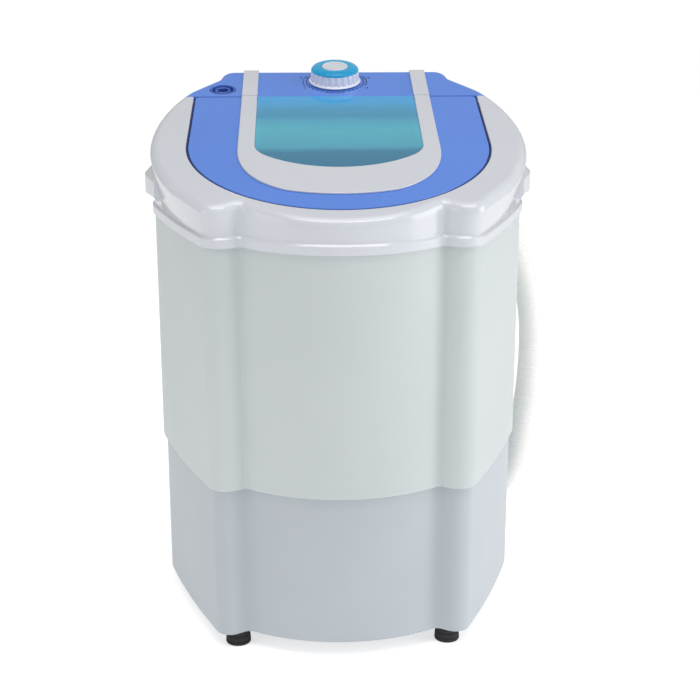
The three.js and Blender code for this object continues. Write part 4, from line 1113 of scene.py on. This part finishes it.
def joined(objects):
    shape = bmesh.new()
    for one in objects:
        shape.from_mesh(one.data)
    shape.to_mesh(objects[0].data)
    shape.free()
    for one in objects[1:]:
        bpy.data.objects.remove(one)
    return objects[0]


def buildDial():
    d = dial
    middle = d["thickness"] / 2 + d["clear"]
    marks = []
    for first, sweep in ((-30, 60), (-150, 120), (150, 60)):
        marks.append(flatArc("arc", d["inner"] + 0.3, d["line"], first, sweep))
    for first, sweep in ((-20, 50), (-75, -35), (150, 50)):
        marks.append(flatArc("arc", d["outer"], d["line"], first, sweep))
    ticks = makeObject("ticks", [(0, 0, 0)], [])
    grow(ticks, arcTicks, Count=d["ticks"], Radius=(d["inner"] + 1.9) * mm,
         First_Angle=math.radians(d["first"]), Sweep=math.radians(d["sweep"]), Length=2 * mm,
         Width=0.75 * mm, Height=d["thickness"] * mm, Material=materials["dialInk"])
    moved(ticks, at(0, 0, middle))
    marks.append(ticks)
    for i, minutes in enumerate((0, 3, 6, 9, 12, 15)):
        a = math.radians(-150 - i * 48)
        text = bpy.data.curves.new("minute", "FONT")
        text.body = str(minutes)
        text.size = 4.6 * mm
        text.align_x = "CENTER"
        text.align_y = "CENTER"
        text.extrude = d["thickness"] / 2 * mm
        word = bpy.data.objects.new("minute", text)
        bpy.context.scene.collection.objects.link(word)
        graph = bpy.context.evaluated_depsgraph_get()
        mesh = bpy.data.meshes.new_from_object(word.evaluated_get(graph))
        bpy.data.objects.remove(word)
        one = bpy.data.objects.new("minute", mesh)
        bpy.context.scene.collection.objects.link(one)
        marks.append(moved(one, at(*polar(d["outer"] + 3.6, a, middle))))
    finishPiece(onKnob(joined(marks)), "dialMarks", "dialInk", "cabinet")


buildDial()
print("knob and dial made")


# water inlet
def buildInlet():
    r, bore = inletSizes["radius"], inletSizes["bore"]
    floor = -deck["panelDepth"] + 3
    profile = [(bore, -20), (bore + 2, -20), (bore + 2, floor - 2), (r - 1, floor - 2), (r - 0.1, -0.4),
               (r, 0), (r - 0.1, 0.3), (r - 0.5, 0.4), (r - 1.1, 0.4), (r - 1.5, 0.2), (r - 1.8, -0.3),
               (r - 2.6, floor + 0.8), (r - 3.3, floor), (bore + 2.4, floor), (bore + 2, floor + 0.4),
               (bore + 2, -0.9), (bore + 1.7, -0.6), (bore + 0.4, -0.6), (bore, -1)]
    cup = lathe("inlet", profile, 96, closed=True)
    onDeck(moved(cup, at(inletX, inletV, 0)))
    finishPiece(cup, "inletSocket", "socketNavy", "cabinet", ["inlet_socket"])


buildInlet()
print("inlet made")

# drain hose on its route from the outlet to the hook
hose = {"diameter": 25, "rib": 0.45, "pitch": 3.4, "step": 0.42, "sides": 26, "exit": (-35, 200, 48),
        "nozzle": 45, "neck": 8, "points": [(-35, 200, 48), (-10, 200, 47.2), (14, 200, 42.5),
                                            (38, 200, 32.5), (60, 200, 22), (78, 199.5, 15.8),
                                            (98, 197.5, 13.2), (120, 189, 14), (143, 173.5, 18.6),
                                            (163, 154.5, 29), (179, 137.5, 46.5), (190, 122.5, 70),
                                            (197, 111, 98), (202, 103, 137), (206, 96.5, 180),
                                            (207.5, 93, 222), (206, 92, 262), (199, 93.5, 302),
                                            (189, 97.5, 335), (180, 102.5, 362), (174, 106, 386)]}


# one smooth curve through the points
def smoothRoute(points, steps):
    p = [Vector(point) for point in points]
    p = [p[0] * 2 - p[1], *p, p[-1] * 2 - p[-2]]
    route = []
    for i in range(1, len(p) - 2):
        a, b, c = [math.sqrt((p[i + k + 1] - p[i + k]).length) for k in (-1, 0, 1)]
        leave = ((p[i] - p[i - 1]) / a - (p[i + 1] - p[i - 1]) / (a + b) + (p[i + 1] - p[i]) / b) * b
        arrive = ((p[i + 1] - p[i]) / b - (p[i + 2] - p[i]) / (b + c) + (p[i + 2] - p[i + 1]) / c) * b
        for k in range(steps):
            t = k / steps
            route.append(p[i] * (2 * t ** 3 - 3 * t ** 2 + 1) + leave * (t ** 3 - 2 * t ** 2 + t)
                         + p[i + 1] * (3 * t ** 2 - 2 * t ** 3) + arrive * (t ** 3 - t ** 2))
    return route + [p[-2]]


hoseRoute = smoothRoute(hose["points"], 10)
hoseEnd = hoseRoute[-1]
hoseHeading = (hoseRoute[-1] - hoseRoute[-2]).normalized()
nozzleTurn = Vector((0, 0, 1)).rotation_difference(hoseHeading)
nozzleMatrix = Matrix.Translation(hoseEnd * mm) @ nozzleTurn.to_matrix().to_4x4()


def buildHose():
    h = hose
    line = bpy.data.curves.new("hoseLine", "CURVE")
    line.dimensions = "3D"
    spline = line.splines.new("POLY")
    spline.points.add(len(hoseRoute) - 1)
    for point, place in zip(spline.points, hoseRoute):
        point.co = (*(place * mm), 1)
    tube = bpy.data.objects.new("drainHose", line)
    bpy.context.scene.collection.objects.link(tube)
    tube = grow(tube, corrugatedTube, Radius=h["diameter"] / 2 * mm, Rib_Depth=h["rib"] * mm,
                Pitch=h["pitch"] * mm, Step=h["step"] * mm, Sides=h["sides"], Cuff=9 * mm,
                Material=materials["hoseCream"])
    faceOutward(tube)
    finishPiece(tube, "drainHose", "hoseCream", "cabinet", ["drain_hose"], angle=60)
    n = h["nozzle"]
    profile = [(5.5, gap), (12.6, gap), (13, 0.7), (13, 4), (12.6, 4.4), (12.6, 5.2), (13, 5.6), (13, 11.4),
               (12.5, 12.2), (9.4, 14.6), (h["neck"] + 0.3, 15.6), (h["neck"], 16.8), (h["neck"], n - 9),
               (h["neck"] + 0.5, n - 8.4), (h["neck"] + 0.5, n - 7.2), (h["neck"] - 0.1, n - 6.4),
               (h["neck"] - 1.2, n - 0.6), (h["neck"] - 1.6, n), (5.9, n), (5.5, n - 0.4)]
    nozzle = moved(lathe("nozzle", profile, 64, closed=True), nozzleMatrix)
    finishPiece(nozzle, "hoseNozzle", "softWhite", "cabinet", ["hose_nozzle"])
    return tube, nozzle


drainHose, hoseNozzle = buildHose()
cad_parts["drain_outlet"].data.materials.clear()
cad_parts["drain_outlet"].data.materials.append(materials["blackPlastic"])


# pulsator in the tub

pulsator = {"radius": 78, "low": 169.5, "thickness": 5, "hub": 12, "fin": 19, "fins": 4, "swirl": 0.5,
            "ridge": 6.5, "bore": 3.3, "pocket": (6.3, 14.3), "rings": 56, "sides": 240}


def buildPulsator():
    p = pulsator
    top = p["low"] + p["thickness"]

    def heightAt(r, a):
        edge = min(1, (p["radius"] - r) / 4)
        hub = 12.5 / (1 + math.exp((r - 17) / 2.2))
        turn = (a - p["swirl"] * (r / p["radius"]) ** 2) * p["fins"] / (2 * pi)
        across = abs(turn - round(turn)) * 2 * pi / p["fins"] * max(r, 8)
        ridge = math.exp(-(across / p["ridge"]) ** 2)
        span = max(0, min(1, (r - 6) / 14)) * max(0, min(1, (p["radius"] - 5 - r) / 26))
        groove = 0.35 * math.cos(r * 1.15) * ridge * span
        rim = 1.5 * math.sqrt(max(0, 1 - (1 - edge) ** 2)) - 1.5
        fin = p["fin"] * 0.86 * ridge * math.sin(span * pi / 2) * (1 - 0.35 * math.exp(-(r / 22) ** 2))
        height = top + rim + hub + fin + groove
        return min(height, top + p["hub"] + 2) if r < 6 else height
    bore, low = p["bore"], p["low"]
    pocket, ceiling = p["pocket"]
    radii = [bore + (p["radius"] - bore) * i / p["rings"] for i in range(p["rings"] + 1)]
    lower = [(p["radius"], low + 2), (p["radius"] - 2, low), (20, low), (pocket, low),
             (pocket, low + ceiling), (bore, low + ceiling)]
    angles = fullTurn(p["sides"])
    rings = [[polar(r, a, heightAt(r, a)) for a in angles] for r in radii]
    rings += [[polar(r, a, z) for a in angles] for r, z in lower]
    disc = loft("pulsator", rings, capped=False)
    finishPiece(disc, "pulsatorDisc", "softWhite", "agitator", ["pulsator"], angle=50)


buildPulsator()
print("pulsator made")

# finishes of the pieces that keep their solids
carried = {
    "zincSheet": ["base_plate", "base_screw_1", "base_screw_2", "base_screw_3", "base_screw_4",
                  "motor_bracket", "motor_pulley", "drive_pulley",
                  "pulley_nut", "bearing_housing", "cover_screw_left", "cover_screw_right"],
    "footRubber": ["motor_mount_1", "motor_mount_2", "motor_mount_3", "drive_belt", "shaft_seal"],
    "motorIron": ["motor_housing"],
    "groundSteel": ["motor_shaft", "drive_shaft", "upper_bearing", "lower_bearing", "pulsator_screw",
                    "timer_shaft", "hinge_pin_left", "hinge_pin_right"],
    "blackPlastic": ["capacitor", "drain_pipe", "drain_outlet", "cord_gland"],
    "softWhite": ["drain_grille", "lint_filter", "wash_timer", "inlet_pipe"],
    "pearlWhite": ["hose_hook"],
}
for material, names in carried.items():
    for name in names:
        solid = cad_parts[name]
        solid.data.materials.clear()
        solid.data.materials.append(materials[material])
print("carried solids finished")

# floor and studio light
studio = {"world": 0.45, "backdrop": 1.05, "floor": (0.93, 0.93, 0.935), "floorReach": 6000,
          "floorGlow": 0.27, "floorWhite": 0.31}


def buildFloor():
    edge = [polar(studio["floorReach"], a, 0) for a in fullTurn(64)]
    floor = makeObject("floor", edge, [tuple(range(64))])
    made, tree, shader = newMaterial("paleFloor")
    place = node(tree, "ShaderNodeTexCoord").outputs["Object"]
    second = [value * 0.985 for value in studio["floor"]]
    tint = mixColor(tree, noise(tree, place, 3, 3), color(studio["floor"]), color(second))
    tree.links.new(tint, shader.inputs["Base Color"])
    shader.inputs["Roughness"].default_value = 0.55
    shader.inputs["Emission Color"].default_value = (1, 1, 1, 1)
    seen = node(tree, "ShaderNodeLightPath").outputs["Is Camera Ray"]
    glow = arithmetic(tree)("MULTIPLY_ADD", seen, studio["floorWhite"], studio["floorGlow"])
    tree.links.new(glow, shader.inputs["Emission Strength"])
    floor.data.materials.append(made)


def softbox(name, place, aim, size, power, tone=(1, 1, 1)):
    light = bpy.data.lights.new(name, "AREA")
    light.shape = "RECTANGLE"
    light.size, light.size_y = size
    light.energy = power
    light.color = tone
    made = bpy.data.objects.new(name, light)
    made.location = place
    made.rotation_euler = (Vector(aim) - Vector(place)).to_track_quat("-Z", "Y").to_euler()
    bpy.context.scene.collection.objects.link(made)
    return made


buildFloor()
softbox("overhead", (0.1, -0.5, 2.3), (0, 0, 0.3), (1.8, 1.4), 11.5)
softbox("edgeStrip", (0.0, -0.78, 2.1), (0, -0.15, 0.4), (1.9, 0.16), 5)
softbox("rightWindow", (2.0, -0.6, 0.9), (0, 0, 0.3), (1.2, 1.8), 17)
softbox("leftFill", (-2.0, -1.2, 0.9), (0, 0, 0.3), (1.2, 1.6), 5)
world = bpy.data.worlds.new("studio")
world.use_nodes = True
tree = world.node_tree
seen = node(tree, "ShaderNodeLightPath").outputs["Is Camera Ray"]
strength = arithmetic(tree)("MULTIPLY_ADD", seen, studio["backdrop"] - studio["world"], studio["world"])
tree.nodes["Background"].inputs["Color"].default_value = (1, 1, 1, 1)
tree.links.new(strength, tree.nodes["Background"].inputs["Strength"])
bpy.context.scene.world = world
bpy.context.scene.view_settings.view_transform = "Standard"
print("studio set")
